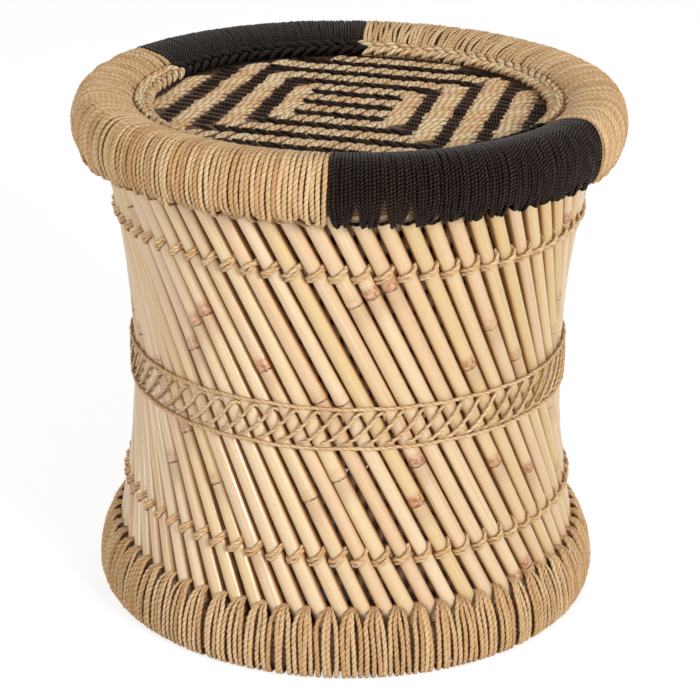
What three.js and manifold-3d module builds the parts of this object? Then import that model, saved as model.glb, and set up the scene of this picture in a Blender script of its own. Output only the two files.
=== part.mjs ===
// Mudda stool: two crossing layers of straight reeds form a waisted wall.
// A wound base ring carries the wall, and a wound rim above it holds the woven seat.
// Millimetres, +Z up, origin at the middle of the footprint on the floor, azimuth 0 at the front (-Y).
import * as THREE from 'three';
import Module from 'manifold-3d';

const wasm = await Module();
wasm.setup();

// Overall sizes
const overallHeight = 384;
const waistHeight = 182.5;
const fitGap = 0.3;

// Reeds: one outer and one inner layer that lean opposite ways
const reedCount = 68;
const reedsPerBundle = 4;
const reedDiameter = 9.8;
const reedSides = 6;
const outerWaistRadius = 153.6;
const leanSlope = 0.494;
const layerGap = 0.35;
const outerPhaseShare = 0.38;
const innerPhaseShare = 0;
const gapPhaseShare = 0.5;

// Rim: a core hoop inside a wound cord
const rimHalfWidth = 17;
const rimHalfHeight = 24.5;
const rimSlopeRun = 29.5;
const rimSlopeDrop = 16;
const rimOverhang = 9.6;
const rimUndersideDrop = 15.5;
const rimLedgeInset = 1.6;
const wrapThickness = 4;
const wrapSlack = 0.9;
const hoopSlack = 1.6;
const blackLoops = 12;
const blackStartDegrees = -2;

// Necks: where a bundle of wrap cords passes between two outer reeds
const neckWidth = 3;
const neckDepth = 4;
const neckReach = 2.4;

// Base ring: a core hoop with a step, inside a wound cord
const baseShelfHeight = 34;
const baseStepHeight = 10.9;
const baseSwell = 14.4;
const baseSwellHeight = 11;
const baseShoulderHeight = 28;
const baseShoulderInset = 2.2;
const baseFootInset = 6;
const baseInnerFoot = 8.2;
const baseWrapCount = 3;

// Lashings and the waist band
const tieCordDiameter = 3.2;
const threadDiameter = 2;
const tieRise = 2.6;
const tieReachShare = 0.4;
const upperTieDrop = 87;
const lowerTieHeight = 86;
const railDiameter = 2.6;
const railSpacing = 29.6;
const strutWidth = 2.4;
const strutRunShare = 1.25;

// Seat: twined rows on a stiff mat, edged by a plaited border
const seatTopDrop = 18;
const seatThickness = 11;
const seatGap = 0.5;
const seatRowPitch = 14.15;
const seatRowDepth = 1.6;
const seatCrestShare = 0.56;
const seatRowDegrees = -20.3;
const borderWidth = 19;
const borderInset = 1;
const borderThickness = 7.6;
const borderGroove = 2;
const borderEndGap = 0.6;

// Facet counts and shares
const hoopSegments = reedCount / 2;
const tieSides = 3;
const threadSides = 3;
const shoulderShare = 0.86;
const shoulderLiftShare = 0.62;
const baseFaceShare = 0.8;
const fullBandShare = 0.955;
const lowBandShare = 0.9;
const rimTurnShares = [0, 0.04, 0.12, 0.22, 0.34, 0.42, 0.5, 1];
const rimFaceDegrees = [-42, 3, 47, 90];
const rimSlopeDegrees = [45, 90];
const baseTurnShares = [0, 0.08, 0.2, 0.34, 0.66, 1];

// Derived heights
const pitch = (2 * Math.PI) / reedCount;
const rimCentreHeight = overallHeight - rimHalfHeight;
const rimUnderside = rimCentreHeight - rimUndersideDrop;
const outerReedTop = rimUnderside - fitGap;
const outerReedFoot = baseShelfHeight + fitGap;
const upperTieHeight = overallHeight - upperTieDrop;
const rimNeckTop = rimUnderside - 2 * fitGap;
const rimNeckBottom = rimNeckTop - neckDepth;
const innerReedTop = rimNeckBottom - fitGap;
const baseStepTop = baseShelfHeight + baseStepHeight;
const baseNeckBottom = baseStepTop + 2 * fitGap;
const baseNeckTop = baseNeckBottom + neckDepth;
const innerReedFoot = baseNeckTop + fitGap;

// Corners of a faceted reed stand out as far as its flats stand in.
const reedCorner = reedDiameter / (1 + Math.cos(Math.PI / reedSides));

// The inner layer's waist radius leaves layerGap between crossing reeds right up to the rim.
const crossingRise = outerReedTop - waistHeight;
const reedSpacing = 2 * reedCorner + layerGap;
const crossingTurn = Math.atan((crossingRise * leanSlope) / (outerWaistRadius - reedSpacing));
const crossingSpread = Math.hypot(1, leanSlope * Math.sin(crossingTurn)) / Math.cos(crossingTurn);
const innerWaistRadius = outerWaistRadius - reedSpacing * crossingSpread;

const outerLayer = { waistRadius: outerWaistRadius, side: -1, phase: outerPhaseShare * pitch };
const innerLayer = { waistRadius: innerWaistRadius, side: 1, phase: innerPhaseShare * pitch };

// Radius of a layer's reed centres at a height: straight leaning lines lie on a hyperboloid.
function layerRadius(layer, height) {
  return Math.hypot(layer.waistRadius, (height - waistHeight) * leanSlope);
}

// Azimuth at a height of the line of a layer that has the given azimuth at the waist.
function leanAzimuth(layer, waistAzimuth, height) {
  return waistAzimuth + layer.side * Math.atan(((height - waistHeight) * leanSlope) / layer.waistRadius);
}

function cylindrical(radius, azimuth, height) {
  return new THREE.Vector3(radius * Math.sin(azimuth), -radius * Math.cos(azimuth), height);
}

// A closed body swept through rings of equal point count; open runs get flat ends.
function sweep(rings, closed) {
  const count = rings[0].length;
  const positions = rings.flat().flatMap((p) => [p.x, p.y, p.z]);
  const faces = [];
  const runs = closed ? rings.length : rings.length - 1;
  for (let j = 0; j < runs; j += 1) {
    const next = (j + 1) % rings.length;
    for (let i = 0; i < count; i += 1) {
      const a = j * count + i;
      const b = j * count + ((i + 1) % count);
      const c = next * count + ((i + 1) % count);
      const d = next * count + i;
      faces.push(a, b, c, a, c, d);
    }
  }
  if (!closed) {
    const last = (rings.length - 1) * count;
    for (let i = 1; i < count - 1; i += 1) {
      faces.push(0, i + 1, i);
      faces.push(last, last + i, last + i + 1);
    }
  }
  return facingOut(positions, faces);
}

// Turns every face round where the enclosed volume comes out negative.
function facingOut(positions, faces) {
  const corner = (k) => new THREE.Vector3().fromArray(positions, 3 * k);
  let volume = 0;
  for (let f = 0; f < faces.length; f += 3) {
    volume += corner(faces[f]).dot(corner(faces[f + 1]).cross(corner(faces[f + 2])));
  }
  if (volume < 0) {
    for (let f = 0; f < faces.length; f += 3) {
      [faces[f + 1], faces[f + 2]] = [faces[f + 2], faces[f + 1]];
    }
  }
  const geometry = new THREE.BufferGeometry();
  geometry.setAttribute('position', new THREE.Float32BufferAttribute(positions, 3));
  geometry.setIndex(faces);
  return geometry;
}

// A round cord through points, with each section square to the cord's run.
function cord(points, diameter, sides, closed) {
  const last = points.length - 1;
  const rings = points.map((point, j) => {
    const before = points[j > 0 ? j - 1 : closed ? last : 0];
    const after = points[j < last ? j + 1 : closed ? 0 : last];
    const along = after.clone().sub(before).normalize();
    const outward = new THREE.Vector3(point.x, point.y, 0).normalize();
    outward.addScaledVector(along, -outward.dot(along)).normalize();
    const across = along.clone().cross(outward);
    return Array.from({ length: sides }, (_, i) => {
      const turn = Math.PI + (2 * Math.PI * i) / sides;
      return point.clone()
        .addScaledVector(outward, (Math.cos(turn) * diameter) / 2)
        .addScaledVector(across, (Math.sin(turn) * diameter) / 2);
    });
  });
  return sweep(rings, closed);
}

function toSolid(geometry) {
  return new wasm.Manifold(new wasm.Mesh({
    numProp: 3,
    vertProperties: new Float32Array(geometry.attributes.position.array),
    triVerts: new Uint32Array(geometry.index.array),
  }));
}

function toGeometry(solid) {
  const mesh = solid.getMesh();
  const geometry = new THREE.BufferGeometry();
  const stride = mesh.numProp;
  const positions = [];
  for (let k = 0; k < mesh.vertProperties.length; k += stride) {
    positions.push(mesh.vertProperties[k], mesh.vertProperties[k + 1], mesh.vertProperties[k + 2]);
  }
  geometry.setAttribute('position', new THREE.Float32BufferAttribute(positions, 3));
  geometry.setIndex(Array.from(mesh.triVerts));
  return geometry;
}

// One section of a leaning reed, cut level at the given height.
function reedRing(layer, waistAzimuth, height) {
  const lean = layer.side * leanSlope;
  const axis = new THREE.Vector3(lean * Math.cos(waistAzimuth), lean * Math.sin(waistAzimuth), 1);
  const out = cylindrical(1, leanAzimuth(layer, waistAzimuth, upperTieHeight), 0);
  out.addScaledVector(axis, -out.dot(axis) / axis.lengthSq()).normalize();
  const across = axis.clone().normalize().cross(out);
  const centre = cylindrical(layer.waistRadius, waistAzimuth, waistHeight);
  centre.addScaledVector(axis, height - waistHeight);
  return Array.from({ length: reedSides }, (_, i) => {
    const turn = (2 * Math.PI * i) / reedSides;
    const offset = out.clone().multiplyScalar(Math.cos(turn) * reedCorner)
      .addScaledVector(across, Math.sin(turn) * reedCorner);
    return centre.clone().add(offset.addScaledVector(axis, -offset.z));
  });
}

// Radius that a layer reaches at a height: outwards for the outer face, inwards for the inner one.
function outerFace(layer, height) {
  return Math.max(...reedRing(layer, 0, height).map((p) => Math.hypot(p.x, p.y)));
}

function innerFace(layer, height) {
  return Math.min(...reedRing(layer, 0, height).map((p) => Math.hypot(p.x, p.y)));
}

function reed(layer, index, foot, top) {
  const azimuth = layer.phase + index * pitch;
  return sweep([reedRing(layer, azimuth, foot), reedRing(layer, azimuth, top)], false);
}

// The lashing's zigzag: up across each reed, then steeply down in the gap to the next one.
function tiePoints(layer, first, count, height, radius) {
  const points = [];
  for (let i = first; i < first + count; i += 1) {
    const centre = leanAzimuth(layer, layer.phase + i * pitch, height);
    points.push(cylindrical(radius, centre - tieReachShare * pitch, height - tieRise));
    points.push(cylindrical(radius, centre + tieReachShare * pitch, height + tieRise));
  }
  return points;
}

// Four neighbouring reeds, threaded together behind the upper lashing.
function reedBundle(layer, bundle, foot, top) {
  const first = bundle * reedsPerBundle;
  const radius = layerRadius(layer, upperTieHeight);
  const thread = Array.from({ length: reedsPerBundle }, (_, i) => {
    const azimuth = leanAzimuth(layer, layer.phase + (first + i) * pitch, upperTieHeight);
    return cylindrical(radius, azimuth, upperTieHeight);
  });
  let solid = toSolid(cord(thread, threadDiameter, threadSides, false));
  for (let i = first; i < first + reedsPerBundle; i += 1) {
    solid = solid.add(toSolid(reed(layer, i, foot, top)));
  }
  return toGeometry(solid);
}

// A lashing runs all the way round, just off the outer reeds at its height.
function lashing(height) {
  const away = Math.sign(height - waistHeight);
  const chord = Math.cos(tieReachShare * pitch);
  const touch = outerFace(outerLayer, height + away * tieCordDiameter / 2);
  const radius = (touch + tieCordDiameter / 2) / chord;
  return cord(tiePoints(outerLayer, 0, reedCount, height, radius), tieCordDiameter, tieSides, true);
}

// The waist band: two level rails joined by slanting struts that each cross two reeds.
function waistBand() {
  const lowHeight = waistHeight - railSpacing / 2;
  const highHeight = waistHeight + railSpacing / 2;
  const half = railDiameter / 2;
  const reedFace = outerFace(outerLayer, highHeight + half) + fitGap;
  const inner = reedFace / Math.cos((strutRunShare * pitch) / 2);
  const outer = inner + railDiameter;
  const strutTurn = strutWidth / outer;
  const positions = [];
  const faces = [];
  const add = (radius, azimuth, height) => {
    const p = cylindrical(radius, azimuth, height);
    positions.push(p.x, p.y, p.z);
    return positions.length / 3 - 1;
  };
  const quad = (a, b, c, d) => faces.push(a, b, c, a, c, d);
  const rail = (edge, free, turn) => Array.from({ length: reedCount }, (_, j) => {
    const start = j * pitch + turn;
    return [outer, inner].map((radius) => ({
      foot: add(radius, start, edge),
      heel: add(radius, start + strutTurn, edge),
      free: add(radius, start + strutTurn / 2, free),
    }));
  });
  const low = rail(lowHeight + half, lowHeight - half, 0);
  const high = rail(highHeight - half, highHeight + half, strutRunShare * pitch);
  for (let j = 0; j < reedCount; j += 1) {
    const next = (j + 1) % reedCount;
    [[low, 1], [high, -1]].forEach(([side, up]) => {
      const [a, b] = side[j];
      const [c, d] = side[next];
      const face = (p, q, r) => (up > 0 ? faces.push(p, q, r) : faces.push(p, r, q));
      face(a.free, a.heel, a.foot);
      face(a.free, c.free, a.heel);
      face(c.free, c.foot, a.heel);
      face(b.free, b.foot, b.heel);
      face(b.free, b.heel, d.free);
      face(d.free, b.heel, d.foot);
      face(a.free, b.free, d.free);
      face(a.free, d.free, c.free);
      face(a.heel, c.foot, d.foot);
      face(a.heel, d.foot, b.heel);
    });
    const [lo, li] = low[j];
    const [ho, hi] = high[j];
    quad(lo.foot, lo.heel, ho.heel, ho.foot);
    quad(li.heel, li.foot, hi.foot, hi.heel);
    quad(li.foot, lo.foot, ho.foot, hi.foot);
    quad(lo.heel, li.heel, hi.heel, ho.heel);
  }
  return facingOut(positions, faces);
}

// Radius of the rim's crest
const rimRadius = layerRadius(outerLayer, rimUnderside) + rimOverhang;

// Points of the rim's round outer face, seen square to the hoop; inset goes inwards from the cord's face.
function rimFace(degrees, inset) {
  const turn = THREE.MathUtils.degToRad(degrees);
  return {
    radius: rimRadius + (rimHalfWidth - inset) * Math.cos(turn),
    height: rimCentreHeight + (rimHalfHeight - inset) * Math.sin(turn),
  };
}

// Points of the rim's inner slope, turned from the crest down to the lip beside the seat.
function rimSlope(degrees, inset) {
  const turn = THREE.MathUtils.degToRad(degrees);
  return {
    radius: rimRadius - (rimSlopeRun - inset) * Math.sin(turn),
    height: overallHeight - rimSlopeDrop + (rimSlopeDrop - inset) * Math.cos(turn),
  };
}

const rimNeckMiddle = (rimNeckTop + rimNeckBottom) / 2;
const rimLedgeRadius = innerFace(innerLayer, rimNeckMiddle) + rimLedgeInset;
const rimThroatRadius = rimLedgeRadius - hoopSlack;

// Stations of the rim winding: out of a gap, round the hoop, and back through the next gap.
function rimStations() {
  const mouth = outerFace(outerLayer, rimNeckMiddle) + neckReach;
  const stations = [{
    inner: { radius: mouth, height: rimNeckTop },
    outer: { radius: mouth, height: rimNeckBottom },
    neck: true,
  }];
  rimFaceDegrees.forEach((degrees, k) => {
    stations.push({
      inner: rimFace(degrees, wrapThickness),
      outer: rimFace(degrees, 0),
      share: k === 0 ? lowBandShare : fullBandShare,
    });
  });
  rimSlopeDegrees.forEach((degrees) => {
    stations.push({
      inner: rimSlope(degrees, wrapThickness),
      outer: rimSlope(degrees, 0),
      share: fullBandShare,
    });
  });
  stations.push({
    inner: { radius: rimThroatRadius, height: rimNeckTop },
    outer: { radius: rimThroatRadius - wrapThickness, height: rimNeckBottom },
    neck: true,
  });
  return stations.map((station, k) => ({ ...station, turn: rimTurnShares[k] }));
}

const baseNeckMiddle = (baseNeckTop + baseNeckBottom) / 2;
const baseRadius = outerFace(outerLayer, outerReedFoot) + baseSwell;
const baseFootRadius = baseRadius - baseFootInset;
const baseThroatRadius = layerRadius(innerLayer, baseNeckMiddle);
const baseInnerFootRadius = innerFace(innerLayer, baseNeckMiddle) + baseInnerFoot;

// Stations of the base winding: out over the reed tips, under the foot and back up inside.
function baseStations() {
  const mouth = outerFace(outerLayer, baseNeckMiddle) + neckReach;
  const stations = [
    { inner: [mouth, baseNeckBottom], outer: [mouth, baseNeckTop], neck: true },
    {
      inner: [baseRadius - baseShoulderInset - wrapThickness, baseShoulderHeight],
      outer: [baseRadius - baseShoulderInset, baseShoulderHeight],
      share: lowBandShare,
    },
    {
      inner: [baseRadius - wrapThickness, baseSwellHeight],
      outer: [baseRadius, baseSwellHeight],
      share: fullBandShare,
    },
    {
      inner: [baseFootRadius - wrapThickness / 2, wrapThickness],
      outer: [baseFootRadius, 0],
      share: fullBandShare,
    },
    {
      inner: [baseInnerFootRadius + wrapThickness / 2, wrapThickness],
      outer: [baseInnerFootRadius, 0],
      share: lowBandShare,
    },
    {
      inner: [baseThroatRadius, baseNeckBottom],
      outer: [baseThroatRadius - wrapThickness, baseNeckTop],
      neck: true,
    },
  ];
  return stations.map((station, k) => ({
    ...station,
    inner: { radius: station.inner[0], height: station.inner[1] },
    outer: { radius: station.outer[0], height: station.outer[1] },
    turn: baseTurnShares[k],
  }));
}

// Azimuth of the gap between two outer reeds at a height.
function gapAzimuth(gap, height) {
  return leanAzimuth(outerLayer, outerLayer.phase + (gap + gapPhaseShare) * pitch, height);
}

// One section of a winding: a flat bundle of cords, narrow where it passes between the reeds.
function bandRing(station, gap, neckHeight, crowned, inset) {
  const middle = gapAzimuth(gap, neckHeight) + station.turn * pitch;
  const place = (share, lift) => {
    const radius = THREE.MathUtils.lerp(station.inner.radius, station.outer.radius, lift) + inset;
    const height = THREE.MathUtils.lerp(station.inner.height, station.outer.height, lift);
    const lean = station.neck ? gapAzimuth(gap, height) - gapAzimuth(gap, neckHeight) : 0;
    const half = station.neck ? neckWidth / radius / 2 : (station.share * pitch) / 2;
    return cylindrical(radius, middle + lean + share * half, height);
  };
  return crowned
    ? [place(-1, 0), place(1, 0), place(shoulderShare, shoulderLiftShare), place(0, 1),
      place(-shoulderShare, shoulderLiftShare)]
    : [place(-1, 0), place(1, 0), place(baseFaceShare, 1), place(-baseFaceShare, 1)];
}

// One unbroken winding with a loop for each gap that it passes through.
function winding(stations, firstGap, loops, neckHeight, crowned) {
  const [mouth] = stations;
  const throat = stations[stations.length - 1];
  const reach = (mouth.inner.radius - throat.inner.radius) / 3;
  const rings = [bandRing(mouth, firstGap, neckHeight, crowned, -reach)];
  for (let loop = 0; loop < loops; loop += 1) {
    stations.forEach((station) => rings.push(bandRing(station, firstGap + loop, neckHeight, crowned, 0)));
  }
  rings.push(bandRing(throat, firstGap + loops - 1, neckHeight, crowned, reach));
  return { geometry: sweep(rings, false), gap: leastGap(rings.slice(1, -1), stations.length) };
}

// The least distance between points of neighbouring loops, with each edge halved.
function leastGap(rings, perLoop) {
  const loops = [];
  for (let start = 0; start < rings.length; start += perLoop) {
    const points = [];
    rings.slice(start, start + perLoop).forEach((ring, k, all) => {
      ring.forEach((point, i) => {
        points.push(point, point.clone().lerp(ring[(i + 1) % ring.length], 0.5));
        if (k + 1 < all.length) points.push(point.clone().lerp(all[k + 1][i], 0.5));
      });
    });
    loops.push(points);
  }
  let least = Infinity;
  for (let k = 0; k + 1 < loops.length; k += 1) {
    loops[k].forEach((p) => loops[k + 1].forEach((q) => {
      least = Math.min(least, p.distanceTo(q));
    }));
  }
  return least;
}

// A hoop turned from a closed outline of radii and heights.
function hoop(outline, segments) {
  const ring = outline.map(([radius, height]) => new THREE.Vector2(radius, height));
  const rings = Array.from({ length: segments }, (_, j) => ring.map(
    (p) => cylindrical(p.x, (2 * Math.PI * j) / segments, p.y),
  ));
  return sweep(rings, true);
}

function rimCore() {
  const corner = (face) => [face.radius, face.height];
  const mouth = outerFace(outerLayer, rimNeckMiddle);
  return hoop([
    [rimLedgeRadius, rimUnderside],
    [mouth, rimUnderside],
    ...rimFaceDegrees.map((degrees) => corner(rimFace(degrees, wrapThickness + wrapSlack))),
    ...rimSlopeDegrees.map((degrees) => corner(rimSlope(degrees, wrapThickness + hoopSlack))),
  ], hoopSegments);
}

function baseCore() {
  const shelfEdge = baseRadius - baseShoulderInset - 2 * wrapThickness - wrapSlack;
  const stepFace = innerFace(outerLayer, baseStepTop) - 2 * fitGap;
  const floor = wrapThickness + wrapSlack;
  return hoop([
    [baseInnerFootRadius + wrapThickness / 2 + hoopSlack, floor],
    [baseFootRadius - wrapThickness / 2 - wrapSlack, floor],
    [baseRadius - wrapThickness - wrapSlack, baseSwellHeight],
    [baseRadius - baseShoulderInset - wrapThickness - wrapSlack, baseShoulderHeight],
    [shelfEdge, baseShelfHeight],
    [stepFace, baseShelfHeight],
    [stepFace, baseStepTop],
    [baseThroatRadius + hoopSlack, baseStepTop],
  ], hoopSegments);
}

// Radius of the winding's inner face beside the seat.
function throatFace(height) {
  const stations = rimStations();
  const lip = stations[stations.length - 2].outer;
  const throat = stations[stations.length - 1].outer;
  const share = (height - throat.height) / (lip.height - throat.height);
  return THREE.MathUtils.lerp(throat.radius, lip.radius, share);
}

// Radii of the plaited border that edges the seat
const seatTop = overallHeight - seatTopDrop;
const seatGround = seatTop - seatRowDepth;
const borderOuterRadius = throatFace(seatTop) - borderInset;
const borderInnerRadius = borderOuterRadius - borderWidth;

// The seat mat: a shallow cone-sided disc, ridged by its twined rows inside the border.
function seatWeave() {
  const bottom = seatTop - seatThickness;
  const steps = Array.from({ length: hoopSegments }, (_, j) => 2 * j * pitch);
  const level = (radius, height) => steps.map((a) => cylindrical(radius, a, height));
  const ground = sweep([
    level(throatFace(bottom) - seatGap, bottom),
    level(throatFace(seatGround) - seatGap, seatGround),
  ], false);
  const rowRadius = borderInnerRadius - seatGap;
  const inside = sweep([level(rowRadius, bottom), level(rowRadius, seatTop)], false);
  const rows = Math.ceil(rowRadius / seatRowPitch);
  const crest = (seatCrestShare * seatRowPitch) / 2;
  const outline = new THREE.Shape();
  const reach = (rows + 1) * seatRowPitch;
  outline.moveTo(-reach, bottom - seatThickness);
  outline.lineTo(-reach, seatGround);
  for (let row = -rows; row <= rows; row += 1) {
    const middle = row * seatRowPitch;
    outline.lineTo(middle - seatRowPitch / 2, seatGround);
    outline.lineTo(middle - crest, seatTop);
    outline.lineTo(middle + crest, seatTop);
  }
  outline.lineTo(reach, seatGround);
  outline.lineTo(reach, bottom - seatThickness);
  outline.closePath();
  const block = new THREE.ExtrudeGeometry(outline, { depth: 2 * reach, bevelEnabled: false });
  block.translate(0, 0, -reach);
  block.rotateX(Math.PI / 2);
  block.rotateZ(Math.PI / 2 + THREE.MathUtils.degToRad(seatRowDegrees));
  const ridges = toSolid(inside).intersect(toSolid(welded(block)));
  return toGeometry(toSolid(ground).add(ridges));
}

// Joins the shared corners of a geometry so that it is one closed surface.
function welded(geometry) {
  const source = geometry.index ? geometry.toNonIndexed() : geometry;
  const array = source.attributes.position.array;
  const grain = fitGap / 100;
  const seen = new Map();
  const positions = [];
  const faces = [];
  for (let k = 0; k < array.length; k += 3) {
    const key = [0, 1, 2].map((i) => Math.round(array[k + i] / grain)).join(' ');
    if (!seen.has(key)) {
      seen.set(key, positions.length / 3);
      positions.push(array[k], array[k + 1], array[k + 2]);
    }
    faces.push(seen.get(key));
  }
  return facingOut(positions, faces);
}

// A stretch of the plaited border: two plaits side by side.
function seatBorder(firstGap, loops) {
  const bottom = seatGround + fitGap;
  const quarter = borderWidth / 4;
  const start = gapAzimuth(firstGap, rimNeckMiddle) + borderEndGap / borderOuterRadius / 2;
  const end = gapAzimuth(firstGap + loops, rimNeckMiddle) - borderEndGap / borderOuterRadius / 2;
  const rings = Array.from({ length: loops + 1 }, (_, j) => {
    const azimuth = THREE.MathUtils.lerp(start, end, j / loops);
    const crest = bottom + borderThickness - (j % 2 ? borderGroove / 2 : 0);
    return [
      [borderInnerRadius, bottom],
      [borderOuterRadius, bottom],
      [borderOuterRadius - quarter, crest],
      [borderOuterRadius - 2 * quarter, bottom + borderThickness - borderGroove],
      [borderInnerRadius + quarter, crest],
    ].map(([radius, height]) => cylindrical(radius, azimuth, height));
  });
  return sweep(rings, false);
}

// Finishes
const reedFinish = new THREE.MeshStandardMaterial({ color: 0xdebe8c, roughness: 0.5, metalness: 0 });
const naturalCord = new THREE.MeshStandardMaterial({ color: 0xc8a577, roughness: 0.85, metalness: 0 });
const blackCord = new THREE.MeshStandardMaterial({ color: 0x25201d, roughness: 0.6, metalness: 0 });
const hoopFinish = new THREE.MeshStandardMaterial({ color: 0x9c7a4c, roughness: 0.8, metalness: 0 });

const stool = new THREE.Group();

function place(name, geometry, material) {
  geometry.computeVertexNormals();
  const mesh = new THREE.Mesh(geometry, material);
  mesh.name = name;
  stool.add(mesh);
}

const two = (value) => String(value).padStart(2, '0');

// Reed wall
for (let bundle = 0; bundle < reedCount / reedsPerBundle; bundle += 1) {
  const name = two(bundle + 1);
  place(`outer_reeds_${name}`, reedBundle(outerLayer, bundle, outerReedFoot, outerReedTop), reedFinish);
  place(`inner_reeds_${name}`, reedBundle(innerLayer, bundle, innerReedFoot, innerReedTop), reedFinish);
}

// Hoops, lashing and band
place('rim_core', rimCore(), hoopFinish);
place('base_core', baseCore(), hoopFinish);
place('upper_lashing', lashing(upperTieHeight), naturalCord);
place('lower_lashing', lashing(lowerTieHeight), naturalCord);
place('waist_band', waistBand(), naturalCord);

// Rim windings and the seat border change colour at the same gaps
const naturalLoops = reedCount / 2 - blackLoops;
const rimStart = Math.round(
  (THREE.MathUtils.degToRad(blackStartDegrees) - gapAzimuth(0, rimNeckMiddle)) / pitch,
);
let gap = rimStart;
[
  ['black_front', blackLoops, blackCord],
  ['natural_right', naturalLoops, naturalCord],
  ['black_back', blackLoops, blackCord],
  ['natural_left', naturalLoops, naturalCord],
].forEach(([name, loops, material]) => {
  const wound = winding(rimStations(), gap, loops, rimNeckMiddle, true);
  console.log(`rim_wrap_${name}: ${loops} loops, least gap ${wound.gap.toFixed(2)} mm`);
  place(`rim_wrap_${name}`, wound.geometry, material);
  place(`seat_border_${name}`, seatBorder(gap, loops), material);
  gap += loops;
});

// Base windings
let baseGap = 0;
for (let wrap = 1; wrap <= baseWrapCount; wrap += 1) {
  const loops = Math.floor((reedCount * wrap) / baseWrapCount) - baseGap;
  const wound = winding(baseStations(), baseGap, loops, baseNeckMiddle, false);
  console.log(`base_wrap_${wrap}: ${loops} loops, least gap ${wound.gap.toFixed(2)} mm`);
  place(`base_wrap_${wrap}`, wound.geometry, naturalCord);
  baseGap += loops;
}

place('seat_weave', seatWeave(), naturalCord);

export default stool;
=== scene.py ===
"""Dressed model of a mudda stool.

Two crossing layers of straight reeds make a waisted wall between a wound base ring and a wound rim.
The rim holds a twined seat with a square pattern, edged by a plaited border.
Metres, +Z up, azimuth 0 at the front (-Y) and growing towards +X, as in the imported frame.
"""
from __future__ import annotations

import logging
import math
from dataclasses import astuple, dataclass, replace
from enum import Enum

import bpy
import numpy as np
from mathutils import Matrix, Vector

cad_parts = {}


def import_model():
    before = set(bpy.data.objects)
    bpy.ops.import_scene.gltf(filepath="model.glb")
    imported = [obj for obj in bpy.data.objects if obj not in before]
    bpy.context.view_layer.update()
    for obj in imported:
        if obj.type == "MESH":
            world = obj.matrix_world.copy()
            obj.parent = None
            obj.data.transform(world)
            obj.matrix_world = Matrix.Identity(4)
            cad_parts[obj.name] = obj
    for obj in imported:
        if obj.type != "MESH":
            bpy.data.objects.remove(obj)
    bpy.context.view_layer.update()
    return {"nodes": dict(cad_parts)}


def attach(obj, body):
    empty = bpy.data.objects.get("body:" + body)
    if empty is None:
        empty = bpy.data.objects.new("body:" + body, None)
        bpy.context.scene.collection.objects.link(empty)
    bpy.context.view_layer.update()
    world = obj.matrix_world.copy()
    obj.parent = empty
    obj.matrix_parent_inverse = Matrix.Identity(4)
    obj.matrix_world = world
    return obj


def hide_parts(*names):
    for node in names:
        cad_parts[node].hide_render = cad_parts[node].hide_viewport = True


LOG = logging.getLogger("mudda_stool")
MM = 0.001
TURN = 2 * math.pi
ROW_BEARING = math.radians(-16.2)
Array = np.ndarray
Colour = tuple[float, float, float]
WHITE: Colour = (1.0, 1.0, 1.0)
LEVEL = np.array([1.0, 1.0, 0.0])  # a path times this is its guide away from the axis


class Dye(Enum):
    """The two colours of cord, with the record's slot for each."""

    NATURAL = "natural_cord"
    BLACK = "black_cord"


def srgb(red: float, green: float, blue: float) -> Colour:
    """Returns the linear colour of an 0-255 screen colour.

    Args:
        red: Red, 0-255.
        green: Green, 0-255.
        blue: Blue, 0-255.

    Returns:
        The linear red, green and blue, 0-1.
    """
    share = np.array([red, green, blue]) / 255
    line = np.where(share <= 0.04045, share / 12.92, ((share + 0.055) / 1.055) ** 2.4)
    return (float(line[0]), float(line[1]), float(line[2]))


def polar(radius: Array | float, azimuth: Array | float, height: Array | float) -> Array:
    """Returns points at (radius sin azimuth, -radius cos azimuth, height)."""
    radius, azimuth, height = np.broadcast_arrays(radius, azimuth, height)
    return np.stack([radius * np.sin(azimuth), -radius * np.cos(azimuth), height], axis=-1)


def smooth(value: Array) -> Array:
    """Returns 3t^2 - 2t^3 with t clipped to 0-1, which starts and ends level."""
    share = np.clip(value, 0, 1)
    return share * share * (3 - 2 * share)


def catmull(points: Array, steps: int, closed: bool) -> Array:
    """Runs a Catmull-Rom curve through points.

    Between points b and c, with a before and d after, a place at share t is
    half of 2b + (c - a)t + (2a - 5b + 4c - d)t^2 + (3b - a - 3c + d)t^3.

    Args:
        points: (..., P, N) control points.
        steps: Places made for each stretch between two control points.
        closed: Whether the last point runs on to the first.

    Returns:
        (..., P * steps, N) places, or (..., (P - 1) * steps + 1, N) for an open run.
    """
    if closed:
        before, after, later = (np.roll(points, shift, axis=-2) for shift in (1, -1, -2))
        here = points
    else:
        first = 2 * points[..., :1, :] - points[..., 1:2, :]
        last = 2 * points[..., -1:, :] - points[..., -2:-1, :]
        padded = np.concatenate([first, points, last], axis=-2)
        before, here, after, later = (padded[..., k:k + points.shape[-2] - 1, :] for k in range(4))
    share = (np.arange(steps) / steps)[:, None]
    before, here, after, later = (p[..., :, None, :] for p in (before, here, after, later))
    run = 0.5 * (
        2 * here + (after - before) * share + (2 * before - 5 * here + 4 * after - later) * share**2
        + (3 * here - before - 3 * after + later) * share**3
    )
    run = run.reshape(*points.shape[:-2], -1, points.shape[-1])
    return run if closed else np.concatenate([run, points[..., -1:, :]], axis=-2)


def along(path: Array) -> Array:
    """Returns the distance run along each path (..., M, 3) at each of its stations."""
    steps = np.linalg.norm(np.diff(path, axis=-2), axis=-1)
    return np.concatenate([np.zeros_like(steps[..., :1]), np.cumsum(steps, axis=-1)], axis=-1)


def resampled(stations: Array, length: Array, run: Array) -> Array:
    """Returns the (M, 2) places at distances along a run of (P, 2) places."""
    return np.stack([np.interp(stations, length, run[:, k]) for k in (0, 1)], axis=1)


def toned(rng: np.random.Generator, middle: float, spread: float, count: int) -> Array:
    """Returns (count, 1) random tones from 0, dark, to 1, light."""
    return np.clip(rng.normal(middle, spread, (count, 1)), 0, 1)


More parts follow.
